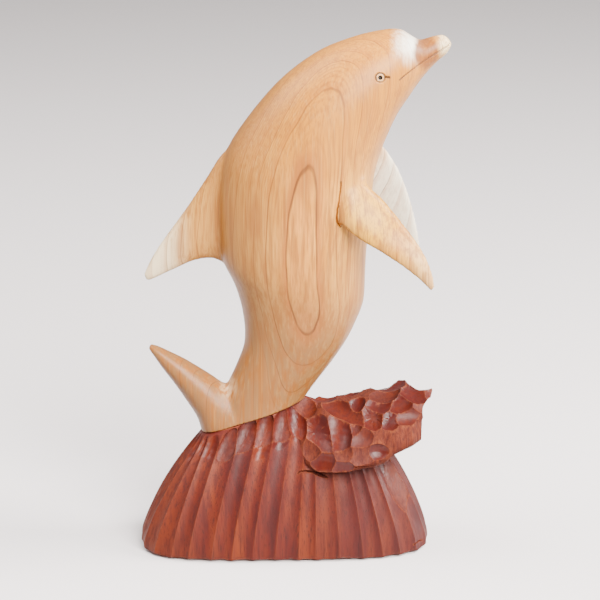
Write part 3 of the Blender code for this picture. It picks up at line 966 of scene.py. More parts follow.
    def mound_grid(self) -> tuple[np.ndarray, dict]:
        """The mound's points, ring by ring from the underside to the seat.

        Returns:
            The points, and the masks by name: the mound itself, the last stroke of each flute, the place
            across the flute, the flute's own tone and the band under the seat.
        """
        share, across, number = self.flutes()
        foot_x, foot_y, seat_x, seat_y, ridge_x, level_end = self.mound_edges(share)
        deep, stop, reach, tone, chips = self.flute_chances(number)
        flare = self.left_flare + (self.right_flare - self.left_flare) * (foot_x / self.length + 0.5)
        low = self.foot_wear * (1 - self.end_wear * level_end)
        rim_start, rim_width = self.rim_band
        rises = 1 - (1 - np.linspace(0, 1, self.mound_rings)) ** self.ring_crowding
        rings, masks = [], {name: [] for name in ("mound", "stroke", "across", "tone", "rim")}
        for step, rise in enumerate(np.concatenate([[0.0, 0.0], rises[1:]])):
            x = foot_x + (ridge_x - foot_x) * rise**flare + (seat_x - ridge_x) * rise**self.shoulder_flare
            y = foot_y + (seat_y - foot_y) * rise**self.face_flare
            ahead = np.stack([np.roll(x, -1) - np.roll(x, 1), np.roll(y, -1) - np.roll(y, 1)])
            ahead /= np.hypot(*ahead)
            arch = 1 - (np.maximum(0.0, rise - self.flutes_fade) / (stop - self.flutes_fade)) ** 2
            worn = low + (1 - low) * min(1.0, rise / self.wear_height)
            flute = self.flute_cut * deep * worn * np.maximum(0.0, arch - across**2)
            round_end = 1 - across**2 - ((stop - reach - rise) / reach) ** 2
            stroke = self.stroke_cut * deep * np.maximum(0.0, round_end)
            sink = np.maximum(flute, stroke) + (self.foot_gap * self.foot_undercut if step == 0 else 0.0)
            sink = sink + self.foot_tuck * level_end * max(0.0, 1 - rise / self.tuck_height) ** 2
            height = np.maximum(self.seat_height(seat_x) * rise, self.chip_lift * chips * (step > 0))
            if step == 1:
                height = chips
            rings.append(np.stack([x - ahead[1] * sink, y + ahead[0] * sink, height], -1))
            rim = np.full_like(x, np.clip((rise - rim_start) / rim_width, 0, 1))
            for name, mask in zip(masks, (np.ones_like(x), stroke > flute, across, tone, rim)):
                masks[name].append(mask)
        return np.array(rings), {name: np.array(mask) for name, mask in masks.items()}

    def crest_points(self, share: np.ndarray, angle: np.ndarray) -> np.ndarray:
        """Points of the crest's skin before it is scooped.

        Args:
            share: how far along the crest each is.
            angle: how far round it, in radians.

        Returns:
            The points.
        """
        table = np.array(self.crest_sections).T
        top, bottom, depth = (np.interp(share, table[0], row) for row in table[1:])
        across, up = self.outline(angle, np.where(np.sin(angle) < 0, self.crest_edge, self.crest_square))
        x = self.crest_start + share * self.crest_length
        top, bottom = top * self.seat_height(x), bottom * self.seat_height(x)
        rise = up * (top - bottom) / 2
        side = across * (1 - self.crest_taper * up) * depth * self.crest_depth / 2
        lean = np.maximum(0, rise) * self.crest_lean * share
        return np.stack([x + lean, side, (top + bottom) / 2 + rise], -1)

    def crest_grid(self) -> np.ndarray:
        """The crest's points, with both ends closed by rings that shrink to the middle.

        Returns:
            Its points, as rings by sides by three.
        """
        angle = np.arange(self.crest_sides) / self.crest_sides * math.tau
        shares = np.linspace(0, 1, self.crest_rings)
        rings = [self.crest_points(np.full_like(angle, share), angle) for share in shares]
        shrunk = 1 - np.arange(1, self.crest_cap_rings) / self.crest_cap_rings
        caps = []
        for ring in (rings[0], rings[-1]):
            middle = ring.mean(axis=0)
            caps.append([middle + (ring - middle) * size for size in shrunk])
        return np.array(caps[0][::-1] + rings + caps[1])

    def scoop_at(self, middle: np.ndarray, side: np.ndarray, up: np.ndarray, sizes: tuple) -> Scoop:
        """A scoop on a skin given by a point and two ways along it, with its long way along the second.

        Args:
            middle: the point.
            side: one way along the skin.
            up: the other way, to the left of the first as seen from outside.
            sizes: half length, half width, depth, turn from the second way, and chatter.

        Returns:
            The scoop.
        """
        out = Vector(np.cross(side, up)).normalized()
        level = Vector((0, 0, 1)).cross(out).normalized()
        way = Vector(up)
        turn = math.degrees(math.atan2(way.dot(out.cross(level)), way.dot(level)))
        facing = (math.degrees(math.atan2(out.y, out.x)), math.degrees(math.asin(out.z)))
        half_length, half_width, depth, more, chatter = sizes
        return Scoop(tuple(middle / MM), facing, half_length, half_width, depth, turn + more, chatter)

    def is_open(self, piece: Piece, scoop: Scoop) -> bool:
        """Whether a scoop starts on the joined skin, with room for the blade all over it.

        Args:
            piece: the mound and the crest in one.
            scoop: the cut to test.

        Returns:
            Whether the blade can make it.
        """
        long_way, cross_way, out = scoop.axes()
        middle = Vector(scoop.place) * MM
        _, skin, _, _ = piece.closest_point_on_mesh(middle)
        steps = [long_way * scoop.half_length * MM, cross_way * scoop.half_width * MM]
        for step in (Vector(), *steps, *(-step for step in steps)):
            room = middle + step * self.blade_share + out * self.blade_room
            _, nearest, normal, _ = piece.closest_point_on_mesh(room)
            if (room - nearest).dot(normal) < 0:
                return False
        return (skin - middle).length < self.skin_slack

    def other_scoops(self, piece: Piece) -> list[Scoop]:
        """Scoops all over the crest, in staggered rows, wherever its skin is open and none is listed.

        Args:
            piece: the mound and the crest in one.

        Returns:
            The scoops.
        """
        chance = np.random.default_rng(self.scoop_seed)
        bare, bare_reach = self.bare_face
        taken = np.array([*(scoop.place for scoop in self.near_scoops), bare]) * MM
        reach = np.array([*(scoop.half_width for scoop in self.near_scoops), bare_reach]) * MM
        first, last, step = self.scoop_shares
        further, round_more = self.probe
        scoops = []
        for row, degrees in enumerate(self.scoop_rows):
            for share in np.arange(first + self.row_shift * (row % 2), last, step):
                share += chance.uniform(-self.share_play, self.share_play)
                angle = math.radians(degrees + chance.uniform(-self.angle_play, self.angle_play))
                spots = [(share, angle), (share + further, angle), (share, angle + round_more)]
                here, ahead, up = (self.crest_points(np.array(a), np.array(b)) for a, b in spots)
                sizes = tuple(chance.uniform(*limits) for limits in self.scoop_ranges)
                scoop = self.scoop_at(here, here - ahead, up - here, sizes)
                clear = np.all(np.linalg.norm(taken - here, axis=1) > reach + self.room_between)
                if clear and self.is_open(piece, scoop):
                    scoops.append(scoop)
        return scoops

    def slit(self, slit: Slit) -> Piece:
        """A rod that opens a crack in the near side and tapers at both ends.

        Args:
            slit: the crack.

        Returns:
            The rod.
        """
        shares = [step / self.slit_steps for step in range(self.slit_steps + 1)]
        points = [Vector(curve_through(slit.route, share)) * MM for share in shares]
        full = [max(self.slit_end, math.sin(math.pi * share) ** self.slit_roundness) * MM for share in shares]
        sizes = [(slit.half_width * part, slit.depth * part) for part in full]
        return rod("slit", points, [OUT_OF_NEAR_SIDE] * len(points), sizes)

    def body(self) -> Piece:
        """The mound and the crest in one, before the crest is scooped.

        Returns:
            The wave.
        """
        grid, masks = self.mound_grid()
        mound = shaped_tube("wave_carving", grid)
        for name, mask in masks.items():
            add_mask(mound, name, mask.ravel())
        cut(mound, shaped_tube("crest", self.crest_grid()), "UNION")
        return mound

    def build(self) -> Piece:
        """Joins the mound and the crest and makes every gouge cut.

        Returns:
            The wave.
        """
        piece = self.body()
        scoops = [*self.near_scoops, *self.rim_scoops, *self.other_scoops(piece)]
        gouge = Gouge()
        slits = [self.slit(slit) for slit in self.near_slits]
        cut_all(piece, [gouge.cutter(scoop) for scoop in scoops] + slits)
        gouge.put_away()
        log.info("%d gouge cuts made", len(scoops))
        only(piece)
        bpy.ops.object.shade_smooth_by_angle(angle=math.radians(self.sharp_edge))
        add_wear(piece, self.sharp_edge)
        return piece


class Span(NamedTuple):
    """A range of a value, from low to high, and the numbers that its two ends are carried to."""

    low: float
    high: float
    start: float = 0.0
    end: float = 1.0


@dataclass(frozen=True)
class Noise:
    """Soft random values: how fine they are, and how they are stretched along each axis."""

    scale: float
    stretch: tuple
    detail: float = 2.0
    roughness: float = 0.5


@dataclass(frozen=True)
class Coat:
    """A colour laid by a value: where it starts, where it is full, and how strong it is there."""

    colour: tuple
    low: float
    high: float
    strength: float = 1.0


@dataclass(frozen=True)
class Region:
    """A part of the wood: along each axis, where it starts and where it is full."""

    x: tuple | None = None
    y: tuple | None = None
    z: tuple | None = None


@dataclass(frozen=True)
class Wash:
    """A colour laid over a region, and how strong it is where the region is full."""

    colour: tuple
    strength: float
    region: Region


@dataclass(frozen=True)
class Patch:
    """A place on the wood with a colour of its own. Some are painted highlights.

    Its reach is across the grain, and long is how many times longer it is along the grain. Ragged says how
    far the streaks pull its edge about, and core which share of its reach has its full colour.
    """

    place: tuple
    reach: float
    long: float
    strength: float
    colour: tuple
    ragged: float = 1.0
    core: float = 0.35


class Board:
    """A node tree, with short ways to add nodes and join them."""

    def __init__(self, tree: bpy.types.NodeTree) -> None:
        """Keeps the tree."""
        self.tree = tree

    def add(self, kind: str, inputs: dict | None = None, **settings: object) -> bpy.types.Node:
        """Adds a node.

        Args:
            kind: its Blender type, without the ShaderNode that it starts with.
            inputs: values or sockets by input name or number.
            settings: its properties by name.

        Returns:
            The node.
        """
        node = self.tree.nodes.new("ShaderNode" + kind)
        for name, value in settings.items():
            setattr(node, name, value)
        for name, value in (inputs or {}).items():
            if isinstance(value, Socket):
                self.tree.links.new(value, node.inputs[name])
            else:
                node.inputs[name].default_value = value
        return node

    def math(self, operation: str, a: object, b: object = 0.0, clamp: bool = False) -> Socket:
        """The result of an operation on one or two values."""
        return self.add("Math", {0: a, 1: b}, operation=operation, use_clamp=clamp).outputs[0]

    def times(self, first: object, *others: object) -> Socket:
        """The product of several values."""
        for other in others:
            first = self.math("MULTIPLY", first, other)
        return first

    def plus(self, a: object, b: object) -> Socket:
        """The sum of two values."""
        return self.math("ADD", a, b)

    def minus(self, a: object, b: object) -> Socket:
        """One value less another."""
        return self.math("SUBTRACT", a, b)

    def most(self, a: object, b: object) -> Socket:
        """The larger of two values."""
        return self.math("MAXIMUM", a, b)

    def off_whole(self, value: object) -> Socket:
        """How far a value is from the nearest whole number."""
        part = self.math("FRACT", value)
        return self.math("MINIMUM", part, self.minus(1.0, part))

    def vector(self, operation: str, a: object, b: object) -> bpy.types.Node:
        """A node that works on two places."""
        return self.add("VectorMath", {0: a, 1: b}, operation=operation)

    def distance(self, a: object, b: object = (0.0, 0.0, 0.0)) -> Socket:
        """The distance between two places, or between a place and the origin."""
        return self.vector("DISTANCE", a, b).outputs["Value"]

    def stretched(self, place: object, scale: tuple) -> Socket:
        """A place scaled by its own amount along each axis."""
        return self.vector("MULTIPLY", place, scale).outputs[0]

    def between(self, value: object, span: Span) -> Socket:
        """A value carried smoothly from one range to another, and held at both ends."""
        inputs = dict(zip(("From Min", "From Max", "To Min", "To Max"), span), Value=value)
        return self.add("MapRange", inputs, interpolation_type="SMOOTHSTEP").outputs["Result"]

    def ramp(self, value: object, stops: tuple) -> Socket:
        """A colour that changes with a value, through stops of a place and a colour.

        Args:
            value: where the ramp is read.
            stops: the stops.

        Returns:
            The colour.
        """
        node = self.add("ValToRGB", {"Fac": value})
        elements = node.color_ramp.elements
        while len(elements) < len(stops):
            elements.new(1.0)
        for element, (place, colour) in zip(elements, stops):
            element.position = place
            element.color = (*colour, 1.0)
        return node.outputs["Color"]

    def curve(self, value: object, points: tuple, reach: tuple, span: tuple, sharp: bool = False) -> Socket:
        """A value read off a curve.

        Args:
            value: what the curve is read at.
            points: pairs that the curve runs through.
            reach: the lowest and highest first number of the pairs.
            span: the lowest and highest second number.
            sharp: whether it is straight between its points.

        Returns:
            The value of the curve.
        """
        low, high = reach
        bottom, top = span
        place = self.math("DIVIDE", self.minus(value, low), high - low, clamp=True)
        node = self.add("FloatCurve", {"Value": place})
        line = node.mapping.curves[0]
        shares = [((x - low) / (high - low), (y - bottom) / (top - bottom)) for x, y in points]
        for number, (x, y) in enumerate(shares):
            point = line.points[number] if number < 2 else line.points.new(x, y)
            point.location = (x, y)
        for point in line.points:
            point.handle_type = "VECTOR" if sharp else "AUTO"
        node.mapping.update()
        return self.plus(self.times(node.outputs["Value"], top - bottom), bottom)

    def noise(self, place: object, noise: Noise) -> Socket:
        """Soft random values from 0 to 1."""
        inputs = {"Scale": noise.scale, "Detail": noise.detail, "Roughness": noise.roughness}
        return self.add("TexNoise", {"Vector": self.stretched(place, noise.stretch), **inputs}).outputs["Fac"]

    def mask(self, name: str) -> Socket:
        """A value stored on the piece's points."""
        return self.add("Attribute", attribute_name=name).outputs["Fac"]


@dataclass(frozen=True)
class Grain:
    """Fine streaks along the trunk, which both woods share, as a node group."""

    name: str = "wood_grain"
    streaks: tuple = (3.0, (1.0, 1.0, 0.028))
    fibres: tuple = (2.0, (2.4, 2.4, 0.04))

    def group(self) -> bpy.types.NodeTree:
        """The node group, built once.

        Returns:
            The group.
        """
        found = bpy.data.node_groups.get(self.name)
        if found:
            return found
        tree = bpy.data.node_groups.new(self.name, "ShaderNodeTree")
        tree.interface.new_socket("Place", in_out="INPUT", socket_type="NodeSocketVector")
        tree.interface.new_socket("Fineness", in_out="INPUT", socket_type="NodeSocketFloat")
        board = Board(tree)
        start = tree.nodes.new("NodeGroupInput")
        end = tree.nodes.new("NodeGroupOutput")
        for label, (detail, stretch) in (("Streaks", self.streaks), ("Fibres", self.fibres)):
            tree.interface.new_socket(label, in_out="OUTPUT", socket_type="NodeSocketFloat")
            place = board.stretched(start.outputs["Place"], stretch)
            inputs = {"Vector": place, "Scale": start.outputs["Fineness"], "Detail": detail}
            tree.links.new(board.add("TexNoise", inputs).outputs["Fac"], end.inputs[label])
        return tree

    def on(self, board: Board, place: Socket, fineness: float) -> tuple[Socket, Socket]:
        """Places the group.

        Args:
            board: the finish's node tree.
            place: where each point of the wood is.
            fineness: how fine the streaks are.

        Returns:
            The streaks, and finer fibres.
        """
        node = board.add("Group", node_tree=self.group())
        board.tree.links.new(place, node.inputs["Place"])
        node.inputs["Fineness"].default_value = fineness
        return node.outputs["Streaks"], node.outputs["Fibres"]


class Surface:
    """A finish in the making: its material, its board, places on the wood and its colour so far."""

    bump_distance: float = 0.0002
    patch_squeeze: float = 0.3

    def __init__(self, name: str) -> None:
        """Starts the material.

        Args:
            name: the material's name.
        """
        self.material = bpy.data.materials.new(name)
        self.material.use_nodes = True
        self.board = Board(self.material.node_tree)
        self.place = self.board.add("TexCoord").outputs["Object"]
        self.axes = tuple(self.board.add("SeparateXYZ", {0: self.place}).outputs)
        self.colour: Socket | None = None

    def paint(self, colour: tuple, share: object) -> None:
        """Lays a colour over what is there, by a share."""
        inputs = {0: share, 6: self.colour, 7: (*colour, 1.0)}
        self.colour = self.board.add("Mix", inputs, data_type="RGBA", clamp_factor=True).outputs[2]

    def coat(self, coat: Coat, value: object, *shares: object) -> None:
        """Lays a coat by a value, thinned by any shares."""
        span = Span(coat.low, coat.high, end=coat.strength)
        self.paint(coat.colour, self.board.times(self.board.between(value, span), *shares))

    def share(self, region: Region) -> Socket:
        """How far each place is inside a region, from 0 to 1."""
        limits = zip(self.axes, (region.x, region.y, region.z))
        return self.board.times(*(self.board.between(axis, Span(*limit)) for axis, limit in limits if limit))

    def wash(self, wash: Wash) -> None:
        """Lays a wash over its region."""
        self.paint(wash.colour, self.board.times(self.share(wash.region), wash.strength))

    def patch(self, patch: Patch, streaks: Socket) -> Socket:
        """Lays a patch whose edge the streaks pull about.

        Args:
            patch: the patch.
            streaks: random values that pull its edge.

        Returns:
            How strongly it covers each place.
        """
        board = self.board
        away = board.vector("SUBTRACT", self.place, patch.place).outputs[0]
        away = board.stretched(away, (1.0, self.patch_squeeze, 1.0 / patch.long))
        pull = board.times(board.minus(streaks, 0.5), patch.reach * patch.ragged)
        far = board.plus(board.distance(away), pull)
        share = board.between(far, Span(patch.reach, patch.reach * patch.core, end=patch.strength))
        self.paint(patch.colour, share)
        return share

    def finish(self, roughness: Socket, relief: Socket, strength: float, specular: float) -> Material:
        """Joins all to the shader.

        Args:
            roughness: how rough the wood is.
            relief: heights for the bump.
            strength: how strong the bump is.
            specular: how strong the reflections are.

        Returns:
            The material.
        """
        shader = self.material.node_tree.nodes["Principled BSDF"]
        inputs = {"Strength": strength, "Distance": self.bump_distance, "Height": relief}
        bump = self.board.add("Bump", inputs)
        joints = (("Base Color", self.colour), ("Roughness", roughness), ("Normal", bump.outputs["Normal"]))
        for name, socket in joints:
            self.board.tree.links.new(socket, shader.inputs[name])
        shader.inputs["Specular IOR Level"].default_value = specular
        return self.material


@dataclass(frozen=True)
class PaleWood:
    """Pale wood with few, thin growth lines, sanded and waxed to a satin sheen.

    The pith runs up the far side of the figure. Its rows are a height, x and y in mm, and the growth rings
    round it are given by their radii in mm and how strongly each line shows.
    """

    name: str = "pale_wood_satin"
    heart: tuple = (0.82, 0.325, 0.052)
    honey: tuple = (0.77, 0.380, 0.070)
    sap: tuple = (0.98, 0.78, 0.49)
    cream: tuple = (0.95, 0.85, 0.66)
    amber: tuple = (0.57, 0.212, 0.014)
    # back: darker tan for the back side, partly wood tone and partly painted shade
    back: tuple = (0.42, 0.170, 0.036)
    # low: darker tone for the lower body, partly browner wood and partly painted shade
    low: tuple = (0.243, 0.114, 0.044)
    streak: tuple = (0.32, 0.108, 0.018)
    ramp_reach: float = 100.0
    ramp_stops: tuple = ((0.08, heart), (0.24, honey))
    upper: Wash = Wash(amber, 0.9, Region(z=(0.165, 0.210)))
    clouds: Noise = Noise(75.0, (1.0, 1.0, 0.45), 3.0, 0.6)
    cloudy: Coat = Coat(amber, 0.42, 0.66, 0.75)
    washes: tuple = (
        # The back side is darker: partly wood tone, partly painted shade on the side turned from the light.
        Wash(back, 0.85, Region(x=(0.010, -0.028))),
        Wash(honey, 0.45, Region(x=(-0.030, -0.040), z=(0.11, 0.13))),
        # Painted shade: the near belly under the flipper is darker.
        Wash(back, 0.40, Region((0.022, 0.036), (-0.026, -0.020), (0.190, 0.165))),
        # Darker toward the bottom: partly browner wood, partly painted shade where less light falls.
        Wash(low, 0.85, Region(z=(0.160, 0.095))),
    )
    flippers: Region = Region(x=(0.030, 0.040), z=(0.206, 0.196))
    beside: Span = Span(0.012, 0.018)
    far_side: Span = Span(-0.005, 0.005)
    near_tip: Span = Span(0.052, 0.068, end=0.30)
    fin_tip: Region = Region(x=(-0.041, -0.060), z=(0.11, 0.13))
    outer_even: float = 0.75
    # A pale patch on the forehead: partly paler wood, partly a painted highlight.
    melon_pale_and_highlight: Patch = Patch((0.0578, -0.0085, 0.2442), 0.0112, 1.10, 0.94, (1.0, 0.95, 0.83), 0.55, 0.06)
    patches: tuple = (
        Patch((-0.0140, -0.0250, 0.1650), 0.0050, 3.2, 0.60, (0.32, 0.105, 0.022)),
        Patch((0.0075, -0.0280, 0.1860), 0.0065, 2.4, 0.60, (0.36, 0.115, 0.022)),
        Patch((0.0755, -0.0040, 0.2425), 0.0080, 1.2, 0.80, (1.0, 0.82, 0.48), 0.6, 0.30),
        Patch((0.0650, -0.0070, 0.2395), 0.0072, 1.3, 0.95, (0.205, 0.060, 0.009), 0.4, 0.60),
        Patch((0.0080, -0.0270, 0.1130), 0.0090, 1.6, 0.45, (0.44, 0.150, 0.035)),
        Patch((0.0400, -0.0340, 0.1680), 0.0150, 1.2, 0.90, (0.76, 0.37, 0.014), 0.4),
        # A painted highlight in the crotch between the tail and the fluke.
        Patch((-0.0268, -0.0020, 0.0795), 0.0065, 1.2, 0.55, (0.90, 0.60, 0.33), 0.3, 0.10),
    )
    pith: tuple = (
        (60, 12.0, -37.7), (90, 13.7, -35.5), (115, 10.8, -30.7), (140, 7.9, -32.3),
        (165, 8.2, -35.2), (190, 10.3, -37.3), (215, 14.9, -39.8), (240, 19.0, -39.3),
    )
    pith_spans: tuple = ((60, 240), (0, 20), (-40, -30))
    ring_radii: tuple = (
        0.0, 10.45, 19.3, 25.5, 29.5, 36.8, 42.5, 48.5, 54.4,
        57.0, 63.8, 69.5, 76.0, 82.0, 89.0, 96.0, 104.0, 112.0,
    )
    line_strengths: tuple = (
        (0, 0.0), (1, 1.0), (2, 0.8), (3, 0.8), (4, 0.45), (5, 0.6), (6, 0.45), (7, 0.45), (8, 0.15),
        (9, 0.95), (10, 0.5), (11, 0.65), (12, 0.0), (13, 0.25), (14, 0.0), (15, 0.3), (18, 0.0),
    )
    reach: float = 120.0
    sways: tuple = ((Noise(45.0, (1.0, 1.0, 0.35)), 3.0), (Noise(260.0, (1.0, 1.0, 0.2)), 0.7))
    flame: Coat = Coat((0.42, 0.125, 0.020), 0.42, 0.0)
    flame_by_ring: Span = Span(2.4, 0.8, 0.30, 0.75)
    broad_grain: float = 420.0
    broad_streaks: Coat = Coat(streak, 0.44, 0.64, 0.62)
    tail: Span = Span(0.105, 0.085, 1.0, 1.5)
    crown: Span = Span(0.165, 0.192, 1.0, 0.52)
    fine_grain: float = 1150.0
    fine_streaks: Coat = Coat(streak, 0.46, 0.66, 0.45)
    pale_fibres: Coat = Coat((0.84, 0.50, 0.16), 0.50, 0.72, 0.12)
    years: float = 6.0
    year_line: Coat = Coat(streak, 0.34, 0.02)
    year_height: Span = Span(0.140, 0.190, 0.12, 0.42)
    year_noise: Noise = Noise(90.0, (1.0, 1.0, 0.3))
    year_breaks: Span = Span(0.35, 0.60, 0.15, 1.0)
    growth_line: Coat = Coat((0.150, 0.046, 0.011), 0.046, 0.008)
    line_height: Span = Span(0.205, 0.15, 0.75, 1.0)
    line_noise: Noise = Noise(130.0, (1.0, 1.0, 0.3))
    line_breaks: Span = Span(0.3, 0.62, 0.45, 0.95)
    inner_lines: Span = Span(1.6, 1.4)
    # Darkens the wood along the cut lines.
    scored: Coat = Coat((0.062, 0.018, 0.006), 0.35, 0.80, 0.85)
    eye_white: Coat = Coat(sap, 2.3 * MM, 1.9 * MM, 0.22)
    pupil: Coat = Coat((0.012, 0.008, 0.006), 1.15 * MM, 0.95 * MM)
    ring_at: float = 2.1 * MM
    eye_ring: Coat = Coat((0.03, 0.012, 0.007), 0.38 * MM, 0.16 * MM)
    # Painted shade: the ring's line is darker along its upper arc, as in the groove's shadow.
    ring_top_shade: Span = Span(-1.8 * MM, -0.2 * MM, 0.60, 0.96)
    roughness: Span = Span(0.3, 0.7, 0.34, 0.44)
    relief: float = 0.12
    specular: float = 0.27

    def growth(self, board: Board, place: Socket) -> tuple[Socket, Socket]:
        """Where each place is among the growth rings.

        Args:
            board: the finish's node tree.
            place: where each point of the wood is.

        Returns:
            Its distance from the pith in mm, and the number of its ring with a fraction.
        """
        x, y, height = board.add("SeparateXYZ", {0: board.stretched(place, (1 / MM,) * 3)}).outputs
        heights, x_span, y_span = self.pith_spans
        pith_x = board.curve(height, tuple((row[0], row[1]) for row in self.pith), heights, x_span)
        pith_y = board.curve(height, tuple((row[0], row[2]) for row in self.pith), heights, y_span)
        away = board.add("CombineXYZ", {0: board.minus(x, pith_x), 1: board.minus(y, pith_y)}).outputs[0]
        radius = board.distance(away)
        for noise, amount in self.sways:
            radius = board.plus(radius, board.times(board.minus(board.noise(place, noise), 0.5), amount))
        points = tuple((far, number) for number, far in enumerate(self.ring_radii))
        return radius, board.curve(radius, points, (0, self.reach), (0, len(points)), sharp=True)

    def paint_outer(self, surface: Surface) -> Socket:
        """Paints the sapwood of the flippers and the fin's tip.

        Args:
            surface: the finish in the making.

        Returns:
            How strongly it covers each place.
        """
        board, (x, y, _) = surface.board, surface.axes
        far_side = board.between(y, self.far_side)
        shown = board.most(far_side, board.between(x, self.near_tip))
        beside = board.between(board.math("ABSOLUTE", y), self.beside)
        flippers = board.times(beside, surface.share(self.flippers), shown)
        outer = board.most(flippers, surface.share(self.fin_tip))
        surface.paint(self.sap, outer)
        surface.paint(self.cream, board.times(flippers, far_side))
        return outer

    def paint_streaks(self, surface: Surface, streaks: Socket, fibres: Socket, rich: Socket) -> None:
        """Paints the grain, broad and fine.

        Args:
            surface: the finish in the making.
            streaks: broad random streaks.
            fibres: finer ones.
            rich: how much of the grain shows.
        """
        board, height = surface.board, surface.axes[2]
        tail, crown = board.between(height, self.tail), board.between(height, self.crown)
        surface.coat(self.broad_streaks, streaks, rich, tail, crown)
        surface.coat(self.fine_streaks, Grain().on(board, surface.place, self.fine_grain)[0], rich)
        surface.coat(self.pale_fibres, fibres)

    def paint_lines(self, surface: Surface, phase: Socket, rich: Socket) -> None:
        """Paints the faint lines of the years, and then the growth lines.

        Args:
            surface: the finish in the making.
            phase: the number of the growth ring with its fraction.
            rich: how much of the grain shows.
        """
        board, place, height = surface.board, surface.place, surface.axes[2]
        years = board.off_whole(board.times(phase, self.years))
        broken = board.between(board.noise(place, self.year_noise), self.year_breaks)
        surface.coat(self.year_line, years, board.between(height, self.year_height), rich, broken)
        strength = board.curve(board.math("ROUND", phase), self.line_strengths, (0, 18), (0, 1), sharp=True)
        shown = board.most(board.between(height, self.line_height), board.between(phase, self.inner_lines))
        broken = board.between(board.noise(place, self.line_noise), self.line_breaks)
        surface.coat(self.growth_line, board.off_whole(phase), broken, strength, shown)

    def paint_eye(self, surface: Surface, eye: Vector) -> None:
        """Paints the pupil, the pale wood round it and the dark line of the ring, with painted shade on its
        upper arc.

        Args:
            surface: the finish in the making.
            eye: the middle of the eye.
        """
        board, height = surface.board, surface.axes[2]
        far = board.distance(surface.place, eye)
        surface.coat(self.eye_white, far)
        surface.coat(self.pupil, far)
        off_ring = board.math("ABSOLUTE", board.minus(far, self.ring_at))
        # The ring's upper arc is darker, as painted shade.
        surface.coat(self.eye_ring, off_ring, board.between(board.minus(height, eye.z), self.ring_top_shade))

    def build(self, eyes: list[Vector]) -> Material:
        """Builds the finish.

        Args:
            eyes: the middles of both eyes, whose pupils are dark.

        Returns:
            The material.
        """
        surface = Surface(self.name)
        board, place = surface.board, surface.place
        radius, phase = self.growth(board, place)
        streaks, fibres = Grain().on(board, place, self.broad_grain)
        surface.colour = board.ramp(board.math("DIVIDE", radius, self.ramp_reach), self.ramp_stops)
        surface.wash(self.upper)
        surface.coat(self.cloudy, board.noise(place, self.clouds))
        for wash in self.washes:
            surface.wash(wash)
        outer = self.paint_outer(surface)
        surface.coat(self.flame, board.math("FRACT", phase), board.between(phase, self.flame_by_ring))
        # The forehead patch: partly paler wood, partly a painted highlight.
        melon_pale_and_highlight = surface.patch(self.melon_pale_and_highlight, streaks)
        for patch in self.patches:
            surface.patch(patch, streaks)
        rich = board.minus(1.0, board.most(board.times(outer, self.outer_even), melon_pale_and_highlight))
        self.paint_streaks(surface, streaks, fibres, rich)
        self.paint_lines(surface, phase, rich)
        surface.coat(self.scored, board.mask("scored"))
        for eye in eyes:
            self.paint_eye(surface, eye)
        return surface.finish(board.between(fibres, self.roughness), fibres, self.relief, self.specular)


